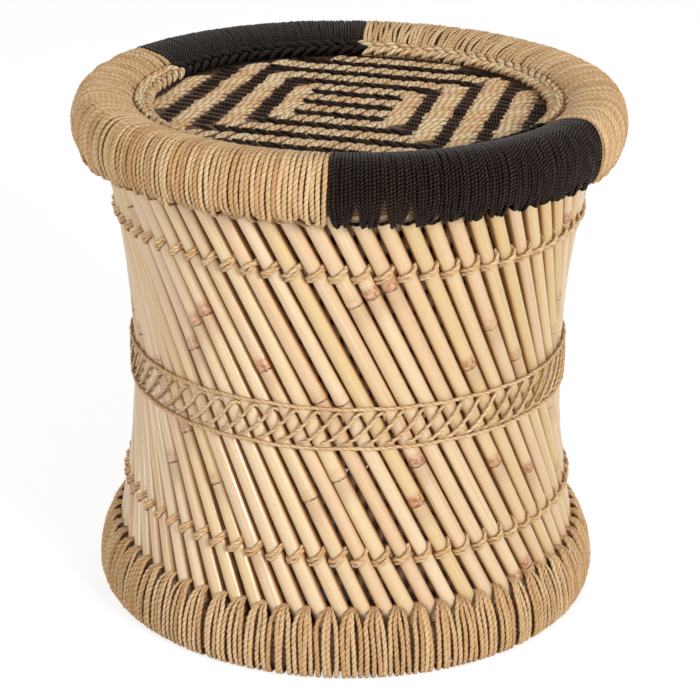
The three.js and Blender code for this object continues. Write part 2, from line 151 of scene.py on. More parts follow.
def ellipse(sides: int, tall: float = 1.0) -> Array:
    """Returns (S, 2) places round an ellipse, tall along the guide and 1 across."""
    angle = TURN * np.arange(sides) / sides
    return np.stack([tall * np.cos(angle), np.sin(angle)], axis=-1)


@dataclass
class Shape:
    """Points with quads and triangles, their UV corners, and named values at the points."""

    points: Array
    quads: Array
    quad_uv: Array
    tris: Array
    tri_uv: Array
    marks: dict[str, Array]

    def piece(self, name: str, material: bpy.types.Material, slot: str, nodes: list[str]) -> None:
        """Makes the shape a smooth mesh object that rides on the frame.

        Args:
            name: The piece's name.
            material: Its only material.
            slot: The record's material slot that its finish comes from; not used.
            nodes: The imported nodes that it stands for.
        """
        mesh = bpy.data.meshes.new(name)
        corners = np.concatenate([self.quads.ravel(), self.tris.ravel()]).astype(np.int32)
        quad_end = self.quads.size
        starts = np.concatenate([
            np.arange(0, quad_end, 4), np.arange(quad_end, quad_end + self.tris.size, 3),
        ]).astype(np.int32)
        mesh.vertices.add(len(self.points))
        mesh.vertices.foreach_set("co", self.points.astype(np.float32).ravel())
        mesh.loops.add(len(corners))
        mesh.loops.foreach_set("vertex_index", corners)
        mesh.polygons.add(len(starts))
        mesh.polygons.foreach_set("loop_start", starts)
        mesh.update(calc_edges=True)
        mesh.polygons.foreach_set("use_smooth", np.ones(len(starts), bool))
        layer = mesh.uv_layers.new(name="UVMap")
        uv = np.concatenate([self.quad_uv.reshape(-1, 2), self.tri_uv.reshape(-1, 2)])
        layer.data.foreach_set("uv", uv.astype(np.float32).ravel())
        for mark, values in self.marks.items():
            attribute = mesh.attributes.new(mark, "FLOAT", "POINT")
            attribute.data.foreach_set("value", values.astype(np.float32))
        mesh.materials.append(material)
        mesh.validate()
        made = bpy.data.objects.new(name, mesh)
        bpy.context.scene.collection.objects.link(made)
        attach(made, "root")
        if nodes:
            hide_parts(*nodes)
        LOG.info("%s: %d faces", name, len(starts))


def join(shapes: list[Shape]) -> Shape:
    """Returns shapes with the same marks as one shape.

    Args:
        shapes: The shapes.

    Returns:
        One shape with all their faces.
    """
    starts = np.cumsum([0] + [len(s.points) for s in shapes])
    return Shape(
        np.concatenate([s.points for s in shapes]),
        np.concatenate([s.quads + n for s, n in zip(shapes, starts)]),
        np.concatenate([s.quad_uv for s in shapes]),
        np.concatenate([s.tris + n for s, n in zip(shapes, starts)]),
        np.concatenate([s.tri_uv for s in shapes]),
        {mark: np.concatenate([s.marks[mark] for s in shapes]) for mark in shapes[0].marks},
    )


def face_uv(left: Array, right: Array, low: Array, high: Array) -> Array:
    """Returns the UV corners of quads from their sides and ends, anticlockwise from low left."""
    corners = ((left, low), (right, low), (right, high), (left, high))
    return np.stack([np.stack(corner, axis=-1) for corner in corners], axis=-2)


def sweep(path: Array, outward: Array, section: Array, closed: bool = False, **marks: Array) -> Shape:
    """Carries closed sections along many centre lines at once.

    A point is centre + x out + y across, where out is the outward guide made square to the run of
    the centre line, and across = run x out. Open ends are closed by a fan of triangles.

    Args:
        path: (K, M, 3) centre lines.
        outward: (K, M, 3) guides, or a shape that broadcasts to it.
        section: (K, M, S, 2) places x, y round the section, or a shape that broadcasts to it.
        closed: Whether each line's last station joins its first.
        marks: Values by name, each (K, M), (K, M, S) or a shape that broadcasts to one of them.

    Returns:
        The tubes, with UV (share round the section, metres along the line).
    """
    count, stations = path.shape[:2]
    if closed:
        run = np.roll(path, -1, axis=1) - np.roll(path, 1, axis=1)
    else:
        run = np.gradient(path, axis=1)
    run = run / np.linalg.norm(run, axis=-1, keepdims=True)
    out = outward - np.sum(outward * run, axis=-1, keepdims=True) * run
    out = out / np.linalg.norm(out, axis=-1, keepdims=True)
    across = np.cross(run, out)
    sides = section.shape[-2]
    section = np.broadcast_to(section, (count, stations, sides, 2))
    points = path[:, :, None] + section[..., :1] * out[:, :, None] + section[..., 1:] * across[:, :, None]

    index = np.arange(count * stations * sides).reshape(count, stations, sides)
    near = index if closed else index[:, :-1]
    far = np.roll(index, -1, axis=1) if closed else index[:, 1:]
    quads = np.stack([near, np.roll(near, -1, axis=2), np.roll(far, -1, axis=2), far], axis=-1)

    length = along(np.concatenate([path, path[:, :1]], axis=1)) if closed else along(path)
    share = np.arange(sides + 1) / sides
    near_v, far_v = (np.broadcast_to(v[:, :, None], near.shape) for v in (length[:, :-1], length[:, 1:]))
    left, right = (np.broadcast_to(u, near.shape) for u in (share[:-1], share[1:]))
    quad_uv = face_uv(left, right, near_v, far_v)

    values = {}
    for mark, value in marks.items():
        value = np.asarray(value, float)
        value = value[..., None] if value.ndim == 2 else value
        values[mark] = np.broadcast_to(value, (count, stations, sides))
    flat = {mark: value.reshape(-1) for mark, value in values.items()}
    if closed:
        return Shape(
            points.reshape(-1, 3), quads.reshape(-1, 4), quad_uv.reshape(-1, 4, 2),
            np.zeros((0, 3), int), np.zeros((0, 3, 2)), flat,
        )
    poles = np.concatenate([points[:, 0].mean(axis=1), points[:, -1].mean(axis=1)])
    foot = np.broadcast_to(index.size + np.arange(count)[:, None], (count, sides))
    head = foot + count
    start, end = index[:, 0], index[:, -1]
    tris = np.concatenate([
        np.stack([foot, np.roll(start, -1, axis=1), start], axis=-1).reshape(-1, 3),
        np.stack([head, end, np.roll(end, -1, axis=1)], axis=-1).reshape(-1, 3),
    ])
    fan = np.stack([0.5 * (share[:-1] + share[1:]), share[1:], share[:-1]], axis=-1)
    tip_u, tip_v = (
        np.concatenate([np.broadcast_to(part, (count, sides, 3)) for part in ends])
        for ends in ((fan, fan[:, [0, 2, 1]]), (length[:, :1, None], length[:, -1:, None]))
    )
    tri_uv = np.stack([tip_u, tip_v], axis=-1).reshape(-1, 3, 2)
    for mark, value in values.items():
        ends = np.concatenate([value[:, 0].mean(axis=1), value[:, -1].mean(axis=1)])
        flat[mark] = np.concatenate([flat[mark], ends])
    return Shape(
        np.concatenate([points.reshape(-1, 3), poles]), quads.reshape(-1, 4),
        quad_uv.reshape(-1, 4, 2), tris, tri_uv, flat,
    )


def turned(profile: Array, steps: int) -> Shape:
    """Turns an open profile of radii and heights, whose ends lie on the axis, into a closed solid.

    Args:
        profile: (P, 2) radii and heights, from the bottom's middle out and up to the top's middle.
        steps: Stations round the axis.

    Returns:
        The solid, with UV (share round the axis, metres along the profile).
    """
    ring = profile[1:-1]
    azimuth = TURN * np.arange(steps) / steps
    points = polar(ring[:, 0], azimuth[:, None], ring[:, 1])
    index = np.arange(points.shape[0] * points.shape[1]).reshape(steps, -1)
    after = np.roll(index, -1, axis=0)
    quads = np.stack([index[:, :-1], after[:, :-1], after[:, 1:], index[:, 1:]], axis=-1)
    run = along(profile[None])[0][1:-1]
    u = np.arange(steps + 1) / steps
    left, right = (np.broadcast_to(s[:, None], quads.shape[:2]) for s in (u[:-1], u[1:]))
    low, high = (np.broadcast_to(s, quads.shape[:2]) for s in (run[:-1], run[1:]))
    poles = np.array([[0, 0, profile[0, 1]], [0, 0, profile[-1, 1]]])
    bottom = np.stack([np.full(steps, index.size), after[:, 0], index[:, 0]], axis=-1)
    top = np.stack([np.full(steps, index.size + 1), index[:, -1], after[:, -1]], axis=-1)
    tris = np.concatenate([bottom, top])
    return Shape(
        np.concatenate([points.reshape(-1, 3), poles]), quads.reshape(-1, 4),
        face_uv(left, right, low, high).reshape(-1, 4, 2), tris, np.zeros((len(tris), 3, 2)), {},
    )


@dataclass(frozen=True)
class Strand:
    """A cord of twisted yarns: its thickness, and how its lobes turn along it."""

    thickness: float
    lay: float = 10.4 * MM
    hand: int = 1
    sides: int = 8
    lobes: int = 2
    groove: float = 0.52

    def section(self, turn: Array, scale: Array | float = 1.0) -> Array:
        """Works out the lobed section at each station.

        Its radius is half the thickness times groove + (1 - groove) |cos(lobes / 2 x angle)|.

        Args:
            turn: (...) angle that the lobes have turned through.
            scale: Share of the full thickness, broadcast against turn.

        Returns:
            (..., S, 2) places.
        """
        angle = TURN * (np.arange(self.sides) + 0.5 * (self.lobes == 1)) / self.sides
        reach = self.groove + (1 - self.groove) * np.abs(np.cos(angle * self.lobes / 2))
        reach = np.ones_like(angle) if self.lobes == 0 else reach
        facing = turn[..., None] + angle
        size = 0.5 * self.thickness * np.broadcast_to(scale, turn.shape)[..., None] * reach
        return np.stack([size * np.cos(facing), size * np.sin(facing)], axis=-1)

    def shape(
        self, path: Array, outward: Array, closed: bool = False,
        scale: Array | float = 1.0, **marks: Array,
    ) -> Shape:
        """Lays the cord along centre lines, turning once in each lay.

        On a closed line the lay is stretched so that the lobes meet themselves.

        Args:
            path: (K, M, 3) centre lines.
            outward: (K, M, 3) guides.
            closed: Whether each line is a ring.
            scale: Share of the full thickness at the stations.
            marks: Values for sweep.

        Returns:
            The cords.
        """
        length = along(path)
        turn = self.hand * TURN * length / self.lay
        if closed:
            whole = length[:, -1:] + np.linalg.norm(path[:, :1] - path[:, -1:], axis=-1)
            lays = np.round(whole / self.lay)
            turn = self.hand * TURN * lays * length / whole
        section = self.section(turn, scale)
        proud = section[..., 0] / np.linalg.norm(section, axis=-1)
        return sweep(path, outward, section, closed, proud=proud, **marks)


@dataclass(frozen=True)
class Layer:
    """A layer of straight leaning reeds, whose centre lines lie on a hyperboloid."""

    waist_radius: float
    side: int
    phase: float
    count: int = 68
    waist_height: float = 182.5 * MM
    slope: float = 0.494

    @property
    def pitch(self) -> float:
        """The azimuth from one reed to the next."""
        return TURN / self.count

    def radius(self, height: Array | float) -> Array:
        """Returns the distance of the centre lines from the axis at a height."""
        return np.hypot(self.waist_radius, (np.asarray(height) - self.waist_height) * self.slope)

    def azimuth(self, index: Array | float, height: Array | float) -> Array:
        """Returns the azimuth of a reed at a height; half numbers are gaps between reeds."""
        lean = np.arctan((np.asarray(height) - self.waist_height) * self.slope / self.waist_radius)
        return (self.phase + np.asarray(index)) * self.pitch + self.side * lean


def fluff(
    path: Array, outward: Array, seen: Array, reach: float, count: int, rng: np.random.Generator,
) -> Shape:
    """Lays short stray fibres that stand off a cord, each a thin bent tube that narrows to its end.

    Args:
        path: (M, 3) the cord's middle.
        outward: (M, 3) guides.
        seen: Stations where fibres may start.
        reach: Half the cord's thickness.
        count: Number of fibres.
        rng: Source of the differences between them.

    Returns:
        The fibres.
    """
    start = rng.choice(seen[(seen > 1) & (seen < len(path) - 2)], count)
    run = path[start + 1] - path[start - 1]
    run = run / np.linalg.norm(run, axis=1, keepdims=True)
    out = outward[start] - np.sum(outward[start] * run, axis=1, keepdims=True) * run
    out = out / np.linalg.norm(out, axis=1, keepdims=True)
    turn = rng.uniform(-1, 1, (count, 1))
    facing = np.cos(turn) * out + np.sin(turn) * np.cross(run, out)
    heading = run * rng.choice([-1.0, 1.0], (count, 1)) + facing * rng.uniform(0.05, 0.35, (count, 1))
    heading = heading + np.cross(run, out) * rng.normal(0, 0.5, (count, 1))
    share = np.linspace(0, 1, 4)[None, :, None]
    length = rng.uniform(2, 5.5, (count, 1, 1)) * MM
    place = (path[start] + 0.9 * reach * facing)[:, None] + heading[:, None] * length * share
    place = place + facing[:, None] * rng.normal(0, 0.6, (count, 1, 1)) * MM * share**2
    section = ellipse(3) * (0.11 * MM) * (1 - 0.7 * share[..., None])
    tone = rng.uniform(0.4, 1, (count, 1))
    return sweep(place, facing[:, None], section, tone=tone, proud=np.ones((1, 4)))


def wound(
    cord: Strand, place: Array, core: Array, squeeze: Array, tone: tuple[float, float], free: Array,
    fibres: int, rng: np.random.Generator,
) -> Shape:
    """Runs a cord unbroken through all turns of a winding.

    Args:
        cord: The cord.
        place: (N, M, 3) places of the turns.
        core: (N, M, 3) places in the hoop that the turns face away from.
        squeeze: (N, M) share of the cord's thickness.
        tone: Middle and spread of the tone from turn to turn.
        free: (N, M) whether stray fibres may start there.
        fibres: Stray fibres on each turn.
        rng: Source of the differences between the turns.

    Returns:
        The cord, with its stray fibres.
    """
    turns, stations = place.shape[:2]
    tones = toned(rng, *tone, turns) * np.ones((1, stations))
    path, outward = place.reshape(1, -1, 3), (place - core).reshape(1, -1, 3)
    made = cord.shape(path, outward, scale=squeeze.reshape(1, -1), tone=tones.reshape(1, -1))
    if not fibres:
        return made
    seen = np.flatnonzero(free)
    return join([made, fluff(path[0], outward[0], seen, 0.5 * cord.thickness, fibres * turns, rng)])


OUTER = Layer(waist_radius=153.6 * MM, side=-1, phase=0.38)
INNER = Layer(waist_radius=140.8 * MM, side=1, phase=0.0)


# Materials

class Signal:
    """A node's output. Sums and products of signals add Math nodes to the same tree."""

    def __init__(self, graph: Graph, socket: bpy.types.NodeSocket) -> None:
        """Keeps the output and the graph that it belongs to."""
        self.graph = graph
        self.socket = socket

    def __add__(self, other: Signal | float) -> Signal:
        """Returns the sum."""
        return self.graph.math("ADD", self, other)

    def __sub__(self, other: Signal | float) -> Signal:
        """Returns the signal less another value."""
        return self.graph.math("SUBTRACT", self, other)

    def __rsub__(self, other: float) -> Signal:
        """Returns a number less the signal."""
        return self.graph.math("SUBTRACT", other, self)

    def __mul__(self, other: Signal | float) -> Signal:
        """Returns the product."""
        return self.graph.math("MULTIPLY", self, other)

    def __abs__(self) -> Signal:
        """Returns the size without its sign."""
        return self.graph.math("ABSOLUTE", self)

    __radd__ = __add__
    __rmul__ = __mul__


Fed = Signal | Colour | float


class Graph:
    """Adds nodes to a node tree by short calls."""

    def __init__(self, tree: bpy.types.NodeTree) -> None:
        """Takes the tree that the nodes go into."""
        self.tree = tree

    def node(self, kind: str, **settings: object) -> bpy.types.Node:
        """Adds a node, named without its ShaderNode, and sets its named properties.

        Args:
            kind: Node type, without its ShaderNode.
            settings: Its properties by name.

        Returns:
            The new node.
        """
        made = self.tree.nodes.new(f"ShaderNode{kind}")
        for name, value in settings.items():
            setattr(made, name, value)
        return made

    def feed(self, socket: bpy.types.NodeSocket, value: Fed) -> None:
        """Links a socket to a signal, or sets it to a plain value or colour.

        Args:
            socket: The input.
            value: A signal to link, or a value to set.
        """
        if isinstance(value, Signal):
            self.tree.links.new(value.socket, socket)
        elif isinstance(value, tuple) and len(value) == 3 and socket.type == "RGBA":
            socket.default_value = (*value, 1.0)
        else:
            socket.default_value = value

    def signals(self, node: bpy.types.Node) -> dict[str, Signal]:
        """Returns a node's outputs by name."""
        return {socket.name: Signal(self, socket) for socket in node.outputs}

    def fill(self, node: bpy.types.Node, values: dict[str, Fed]) -> bpy.types.Node:
        """Feeds a node's inputs by their names and returns it.

        Args:
            node: The node.
            values: Values by the names of its inputs.

        Returns:
            The same node.
        """
        for name, value in values.items():
            self.feed(node.inputs[name], value)
        return node

    def call(self, kind: str, *values: Fed, **settings: object) -> Signal:
        """Adds a node, feeds its first inputs in their order and returns its first output.

        Args:
            kind: Node type, without its ShaderNode.
            values: Values for its first inputs.
            settings: Its properties by name.

        Returns:
            Its first output.
        """
        made = self.node(kind, **settings)
        for socket, value in zip(made.inputs, values):
            self.feed(socket, value)
        return Signal(self, made.outputs[0])

    def shader(self, kind: str, **values: Fed) -> Signal:
        """Adds a node, feeds inputs by their names and returns its first output."""
        return Signal(self, self.fill(self.node(kind), values).outputs[0])

    def math(self, operation: str, *values: Signal | float) -> Signal:
        """Adds a Math node."""
        return self.call("Math", *values, operation=operation)

    def mix(self, share: Signal, first: Fed, second: Fed) -> Signal:
        """Mixes two colours.

        Args:
            share: Share of the second colour.
            first: The first colour.
            second: The second colour.

        Returns:
            The mixed colour.
        """
        made = self.node("Mix", data_type="RGBA")
        for index, value in ((0, share), (6, first), (7, second)):
            self.feed(made.inputs[index], value)
        return Signal(self, made.outputs[2])

    def span(self, value: Signal, low: float, high: float, start: float = 0.0, end: float = 1.0) -> Signal:
        """Maps low-high smoothly to start-end, and stays level beyond them."""
        return self.call("MapRange", value, low, high, start, end, interpolation_type="SMOOTHSTEP")

    def noise(
        self, vector: Signal, scale: Fed, detail: Fed = 2.0, rough: float = 0.5, seed: Signal | None = None,
    ) -> Signal:
        """Adds a noise texture's value, in four dimensions where a seed is given.

        Args:
            vector: Place at which it is read.
            scale: Its scale.
            detail: Its octaves.
            rough: How much the finer octaves count.
            seed: Fourth coordinate, if it has one.

        Returns:
            Its value, 0-1.
        """
        made = self.node("TexNoise", noise_dimensions="3D" if seed is None else "4D")
        values = {"Vector": vector, "Scale": scale, "Detail": detail, "Roughness": rough}
        self.fill(made, values if seed is None else {**values, "W": seed})
        return Signal(self, made.outputs[0])

    def mark(self, name: str) -> Signal:
        """Reads a named value of the mesh."""
        return self.signals(self.node("Attribute", attribute_name=name))["Fac"]

    def split(self, vector: Signal) -> tuple[Signal, ...]:
        """Returns a vector's three parts.

        Args:
            vector: The vector.

        Returns:
            Its x, y and z.
        """
        made = self.node("SeparateXYZ")
        self.feed(made.inputs[0], vector)
        return tuple(self.signals(made).values())

    def uv(self) -> tuple[Signal, Signal]:
        """Returns the share round the section and the length along it."""
        return self.split(self.call("UVMap", uv_map="UVMap"))[:2]

    def place(self) -> Signal:
        """Returns the place in object coordinates."""
        return self.signals(self.node("TexCoord"))["Object"]

    def group(self, tree: bpy.types.NodeTree, **values: Fed) -> dict[str, Signal]:
        """Places a node group, feeds its inputs by name and returns its outputs by name."""
        return self.signals(self.fill(self.node("Group", node_tree=tree), values))

    def bump(self, height: Signal, distance: float, strength: float) -> Signal:
        """Returns the normal that a height gives."""
        return self.shader("Bump", Distance=distance, Strength=strength, Height=height)


def new_group(
    name: str, floats: tuple[str, ...], colours: tuple[str, ...], outputs: dict[str, str],
) -> tuple[Graph, dict[str, Signal], bpy.types.NodeInputs]:
    """Starts a shader node group.

    Args:
        name: The group's name.
        floats: Names of the inputs that take a number.
        colours: Names of the inputs that take a colour.
        outputs: Socket types by output name.

    Returns:
        The graph, the group's inputs by name and its output node's sockets.
    """
    tree = bpy.data.node_groups.new(name, "ShaderNodeTree")
    inputs = {**dict.fromkeys(colours, "Color"), **dict.fromkeys(floats, "Float")}
    for direction, sockets in (("INPUT", inputs), ("OUTPUT", outputs)):
        for socket, kind in sockets.items():
            tree.interface.new_socket(socket, in_out=direction, socket_type=f"NodeSocket{kind}")
    graph = Graph(tree)
    return graph, graph.signals(tree.nodes.new("NodeGroupInput")), tree.nodes.new("NodeGroupOutput").inputs


class Groups:
    """The effects that several finishes share, each built once."""

    def __init__(self) -> None:
        """Builds the groups."""
        self.round_noise = self._round_noise()
        self.yarn = self._yarn()
        self.mottle = self._mottle()

    @staticmethod
    def _round_noise() -> bpy.types.NodeTree:
        """Noise that closes round a tube: it reads cos and sin of the angle, and the length.

        Returns:
            The group.
        """
        graph, given, out = new_group(
            "round_noise", ("Around", "Along", "Detail", "Seed"), (), {"Value": "Float"},
        )
        around, length = graph.uv()
        angle = around * TURN
        vector = graph.call(
            "CombineXYZ", graph.math("COSINE", angle) * given["Around"],
            graph.math("SINE", angle) * given["Around"], length * given["Along"],
        )
        graph.feed(out["Value"], graph.noise(vector, 1.0, given["Detail"], 0.6, given["Seed"]))
        return graph.tree

    def _yarn(self) -> bpy.types.NodeTree:
        """Twisted yarn: fine fibres along the strand, painted shade in the grooves between plies, a tone per
        turn.

        The groove lies where cos(lobes x angle round + 2 pi x plies x length) is lowest. The flanks,
        where the proud mark falls towards 0, take painted shade where they lie against their neighbours,
        and so do the low places between the fine fibres.

        Returns:
            The group.
        """
        graph, given, out = new_group(
            "yarn", ("Plies", "Fibres", "Lobes", "Run", "Contrast", "Crevice"), ("Light", "Dark", "Deep"),
            {"Color": "Color", "Height": "Float", "Open": "Float"},
        )
        tone = graph.mark("tone")
        fine, broad = (
            graph.group(self.round_noise, Around=across, Along=run, Detail=2.0, Seed=31.0 * tone)["Value"]
            for across, run in ((given["Fibres"], given["Run"]), (0.8, 75.0))
        )
        around, length = graph.uv()
        start = tone * (given["Plies"] * 0.02)
        spiral = around * given["Lobes"] + (length * given["Plies"] + start)
        groove = graph.span(graph.math("COSINE", spiral * TURN), 0.1, -0.9)
        seam = groove * given["Contrast"]
        share = 0.55 * tone + 0.9 * broad + 0.55 * fine
        colour = graph.mix(graph.span(share, 0.55, 1.35), given["Dark"], given["Light"])
        # The ply grooves, the low places between the fine fibres and the flanks against the next turn are
        # mixed towards the shade colour: painted shade.
        colour = graph.mix(seam, colour, given["Deep"])
        colour = graph.mix(0.5 * graph.span(fine, 0.36, 0.2), colour, given["Deep"])
        jagged = graph.mark("proud") + 0.5 * (fine - 0.5)
        flank = graph.span(jagged, 0.6, 0.08) * given["Crevice"]
        graph.feed(out["Color"], graph.mix(flank, colour, given["Deep"]))
        graph.feed(out["Open"], 1.0 - graph.math("MAXIMUM", flank, seam))
        graph.feed(out["Height"], fine + 0.5 * broad - 0.8 * groove)
        return graph.tree

    @staticmethod
    def _mottle() -> bpy.types.NodeTree:
        """Soft patches and fine dust of the handled object, in object coordinates.

        Returns:
            The group.
        """
        graph, given, out = new_group("mottle", ("Scale", "Seed"), (), {"Soft": "Float", "Fine": "Float"})
        place, scale, seed = graph.place(), given["Scale"], given["Seed"]
        graph.feed(out["Soft"], graph.noise(place, scale, 3.0, 0.55, seed))
        graph.feed(out["Fine"], graph.noise(place, scale * 14.0, 2.0, 0.6, seed))
        return graph.tree


class Finish:
    """Base of the finishes: each kind works out the inputs of its Principled shader."""

    name: str

    def inputs(self, graph: Graph, groups: Groups) -> dict[str, Fed]:
        """Adds the nodes and returns the shader's inputs by name."""
        raise NotImplementedError

    def material(self, groups: Groups) -> bpy.types.Material:
        """Builds the material.

        Args:
            groups: The node groups that finishes share.

        Returns:
            The material.
        """
        material = bpy.data.materials.new(self.name)
        material.use_nodes = True
        graph = Graph(material.node_tree)
        graph.fill(graph.tree.nodes["Principled BSDF"], self.inputs(graph, groups))
        return material


@dataclass(frozen=True)
class ReedFinish(Finish):
    """Natural reed: satin skin with streaks, marks above and below each knuckle, and painted shade on its
    flanks.
    """

    name: str = "reed_skin"
    cream: Colour = srgb(240, 217, 182)
    straw: Colour = srgb(225, 190, 141)
    olive: Colour = srgb(218, 188, 122)
    pink: Colour = srgb(228, 194, 160)
    streak: Colour = srgb(190, 144, 94)
    blush: Colour = srgb(170, 98, 60)
    ring: Colour = srgb(104, 56, 34)
    chalk: Colour = srgb(206, 172, 134)
    shade: Colour = srgb(156, 94, 36)
    roughness: float = 0.22
    coat: float = 0.35
    coat_roughness: float = 0.14

    def inputs(self, graph: Graph, groups: Groups) -> dict[str, Fed]:
        """Reads the reeds' tone, warmth, flush, band, near and proud marks.

        Args:
            graph: The material's nodes.
            groups: The node groups that finishes share.

        Returns:
            The shader's inputs by name.
        """
        span = graph.span
        tone, warmth, band = graph.mark("tone"), graph.mark("warmth"), graph.mark("band")
        seed = 57.0 * tone
        broad, streaks, specks, blotch = (
            graph.group(groups.round_noise, Around=around, Along=run, Detail=detail, Seed=seed)["Value"]
            for around, run, detail in (
                (0.9, 14.0, 2.0), (7.0, 6.0, 3.0), (5.0, 520.0, 1.0), (2.2, 420.0, 3.0),
            )
        )
        jitter = 9 * MM * (blotch - 0.5)
        past = band + jitter
        close = span(graph.mark("near"), 0.02, 0.2)
        above = span(past, 0.2 * MM, 1 * MM) * span(past, 13 * MM, 6 * MM) * close
        below = span(past, -0.4 * MM, -1.5 * MM) * span(past, -24 * MM, -6 * MM) * close
        flush = above * span(blotch, 0.36, 0.62, 0.25, 1.0) * span(graph.mark("flush"), 0.0, 1.0, 0.15, 1.0)
        line = span(abs(band + 0.3 * jitter), 1.2 * MM, 0.3 * MM) * close * span(blotch, 0.3, 0.55, 0.25, 0.9)
        # The flanks, where the proud mark falls from 0.64 to 0.2, are mixed up to 84 % towards the brown
        # shade colour: painted shade where each reed turns towards its neighbours.
        flank = graph.mark("proud") + 0.2 * (broad - 0.5)
        base = graph.mix(span(tone, 0.0, 1.0), self.straw, self.cream)
        for share, colour in (
            (span(warmth, 0.62, 1.0, 0.0, 0.7), self.pink), (span(warmth, 0.3, 0.0, 0.0, 0.6), self.olive),
            (span(broad, 0.35, 0.72, 0.0, 0.55), self.straw),
            (span(streaks, 0.5, 0.72, 0.0, 0.55), self.streak),
            (span(specks, 0.66, 0.8, 0.0, 0.55), self.streak), (0.8 * below, self.chalk),
            (flush, self.blush), (line, self.ring), (span(flank, 0.64, 0.2, 0.0, 0.84), self.shade),
        ):
            base = graph.mix(share, base, colour)
        marked = below + above
        relief = 0.5 * streaks + 0.3 * broad + 0.9 * (blotch * marked)
        return {
            "Base Color": base, "Roughness": 0.16 * streaks + self.roughness + 0.22 * marked,
            "Normal": graph.bump(relief, 0.7 * MM, 0.35),
            "Coat Weight": self.coat, "Coat Roughness": self.coat_roughness,
        }


@dataclass(frozen=True)
class CordFinish(Finish):
    """Twisted cord: its two tones, the painted shade of its grooves and crevices, and its gloss."""

    name: str
    light: Colour
    dark: Colour
    # deep: painted shade for the grooves between plies and the crevices between turns.
    deep: Colour
    lay: float = 0.0
    fibres: float = 4.0
    roughness: float = 0.85
    sheen: float = 0.0
    relief: float = 0.6
    gloss: float = 0.4
    glint: Colour = WHITE
    run: float = 260.0
    lobes: float = 2.0
    contrast: float = 0.28
    crevice: float = 0.75

    def yarn(self, graph: Graph, groups: Groups) -> tuple[Signal, Signal, Signal]:
        """Returns the yarn's colour, height and gloss; without a lay, the mesh has the plies.

        Args:
            graph: The material's nodes.
            groups: The node groups that finishes share.

        Returns:
            Its colour, height and gloss.
        """
        made = graph.group(
            groups.yarn, Light=self.light, Dark=self.dark, Deep=self.deep, Lobes=self.lobes,
            Fibres=self.fibres, Run=self.run, Contrast=self.contrast, Crevice=self.crevice,
            Plies=1 / self.lay if self.lay else 0.0,
        )
        return made["Color"], made["Height"], self.gloss * made["Open"]

    def inputs(self, graph: Graph, groups: Groups) -> dict[str, Fed]:
        """Reads the cord's tone and proud marks and the UV map.

        Args:
            graph: The material's nodes.
            groups: The node groups that finishes share.

        Returns:
            The shader's inputs by name.
        """
        colour, height, gloss = self.yarn(graph, groups)
        patch = graph.group(groups.mottle, Scale=22.0, Seed=3.0)
        worn = graph.span(patch["Soft"], 0.38, 0.66, 0.0, 0.3)
        return {
            "Base Color": graph.mix(worn, colour, self.dark),
            "Roughness": 0.16 * patch["Fine"] + (self.roughness - 0.08),
            "Specular IOR Level": gloss, "Specular Tint": self.glint, "Sheen Weight": self.sheen,
            "Normal": graph.bump(height, 0.6 * MM, self.relief),
        }


@dataclass(frozen=True)
class TwineFinish(Finish):
    """The seat's two-colour twine: each stitch's dye mark picks natural or black yarn."""

    name: str
    natural: CordFinish
    black: CordFinish
    smoother: float = 0.28

    def inputs(self, graph: Graph, groups: Groups) -> dict[str, Fed]:
        """Reads the stitches' dye, tone and proud marks.

        Args:
            graph: The material's nodes.
            groups: The node groups that finishes share.

        Returns:
            The shader's inputs by name.
        """
        yarns = [finish.yarn(graph, groups) for finish in (self.natural, self.black)]
        colours, heights, glosses = zip(*yarns)
        dye = graph.span(graph.mark("dye"), 0.4, 0.6)
        patch = graph.group(groups.mottle, Scale=30.0, Seed=7.0)
        return {
            "Base Color": graph.mix(dye, *colours),
            "Roughness": self.natural.roughness - self.smoother * dye + 0.1 * patch["Fine"],
            "Specular IOR Level": graph.call("MapRange", dye, 0.0, 1.0, *glosses),
            "Specular Tint": graph.mix(dye, self.natural.glint, self.black.glint),
            "Normal": graph.bump(heights[0] * (1.0 - dye) + heights[1] * dye, 0.9 * MM, 1.0),
        }


@dataclass(frozen=True)
class HoopFinish(Finish):
    """Bundled dry stalks that run round a hoop, seen where the winding parts."""

    name: str = "hoop_stalks"
    light: Colour = srgb(216, 174, 136)
    dark: Colour = srgb(150, 108, 76)
    stalk: float = 3.1 * MM

    def inputs(self, graph: Graph, groups: Groups) -> dict[str, Fed]:
        """Makes the stalks sine ridges over height plus radius.

        Args:
            graph: The material's nodes.
            groups: The node groups that finishes share.

        Returns:
            The shader's inputs by name.
        """
        x, y, z = graph.split(graph.place())
        radius = graph.math("SQRT", graph.math("POWER", x, 2.0) + graph.math("POWER", y, 2.0))
        across = z + radius
        ridge = graph.math("SINE", across * (TURN / self.stalk))
        fibre = graph.noise(graph.call("CombineXYZ", x * 22.0, y * 22.0, across * 700.0), 1.0, 3.0, 0.6)
        patch = graph.group(groups.mottle, Scale=40.0, Seed=1.0)
        # The troughs between the stalks, where the ridge sine is low, go towards dark: painted shade between
        # stalks; the fibre noise and soft patches are the stalks' own tone.
        share = 0.6 * graph.span(ridge, -1.0, 0.6) + 0.5 * fibre + 0.5 * (patch["Soft"] - 0.5)
        return {
            "Base Color": graph.mix(share, self.dark, self.light), "Roughness": 0.2 * fibre + 0.7,
            "Normal": graph.bump(ridge + fibre, 1.2 * MM, 0.8),
        }


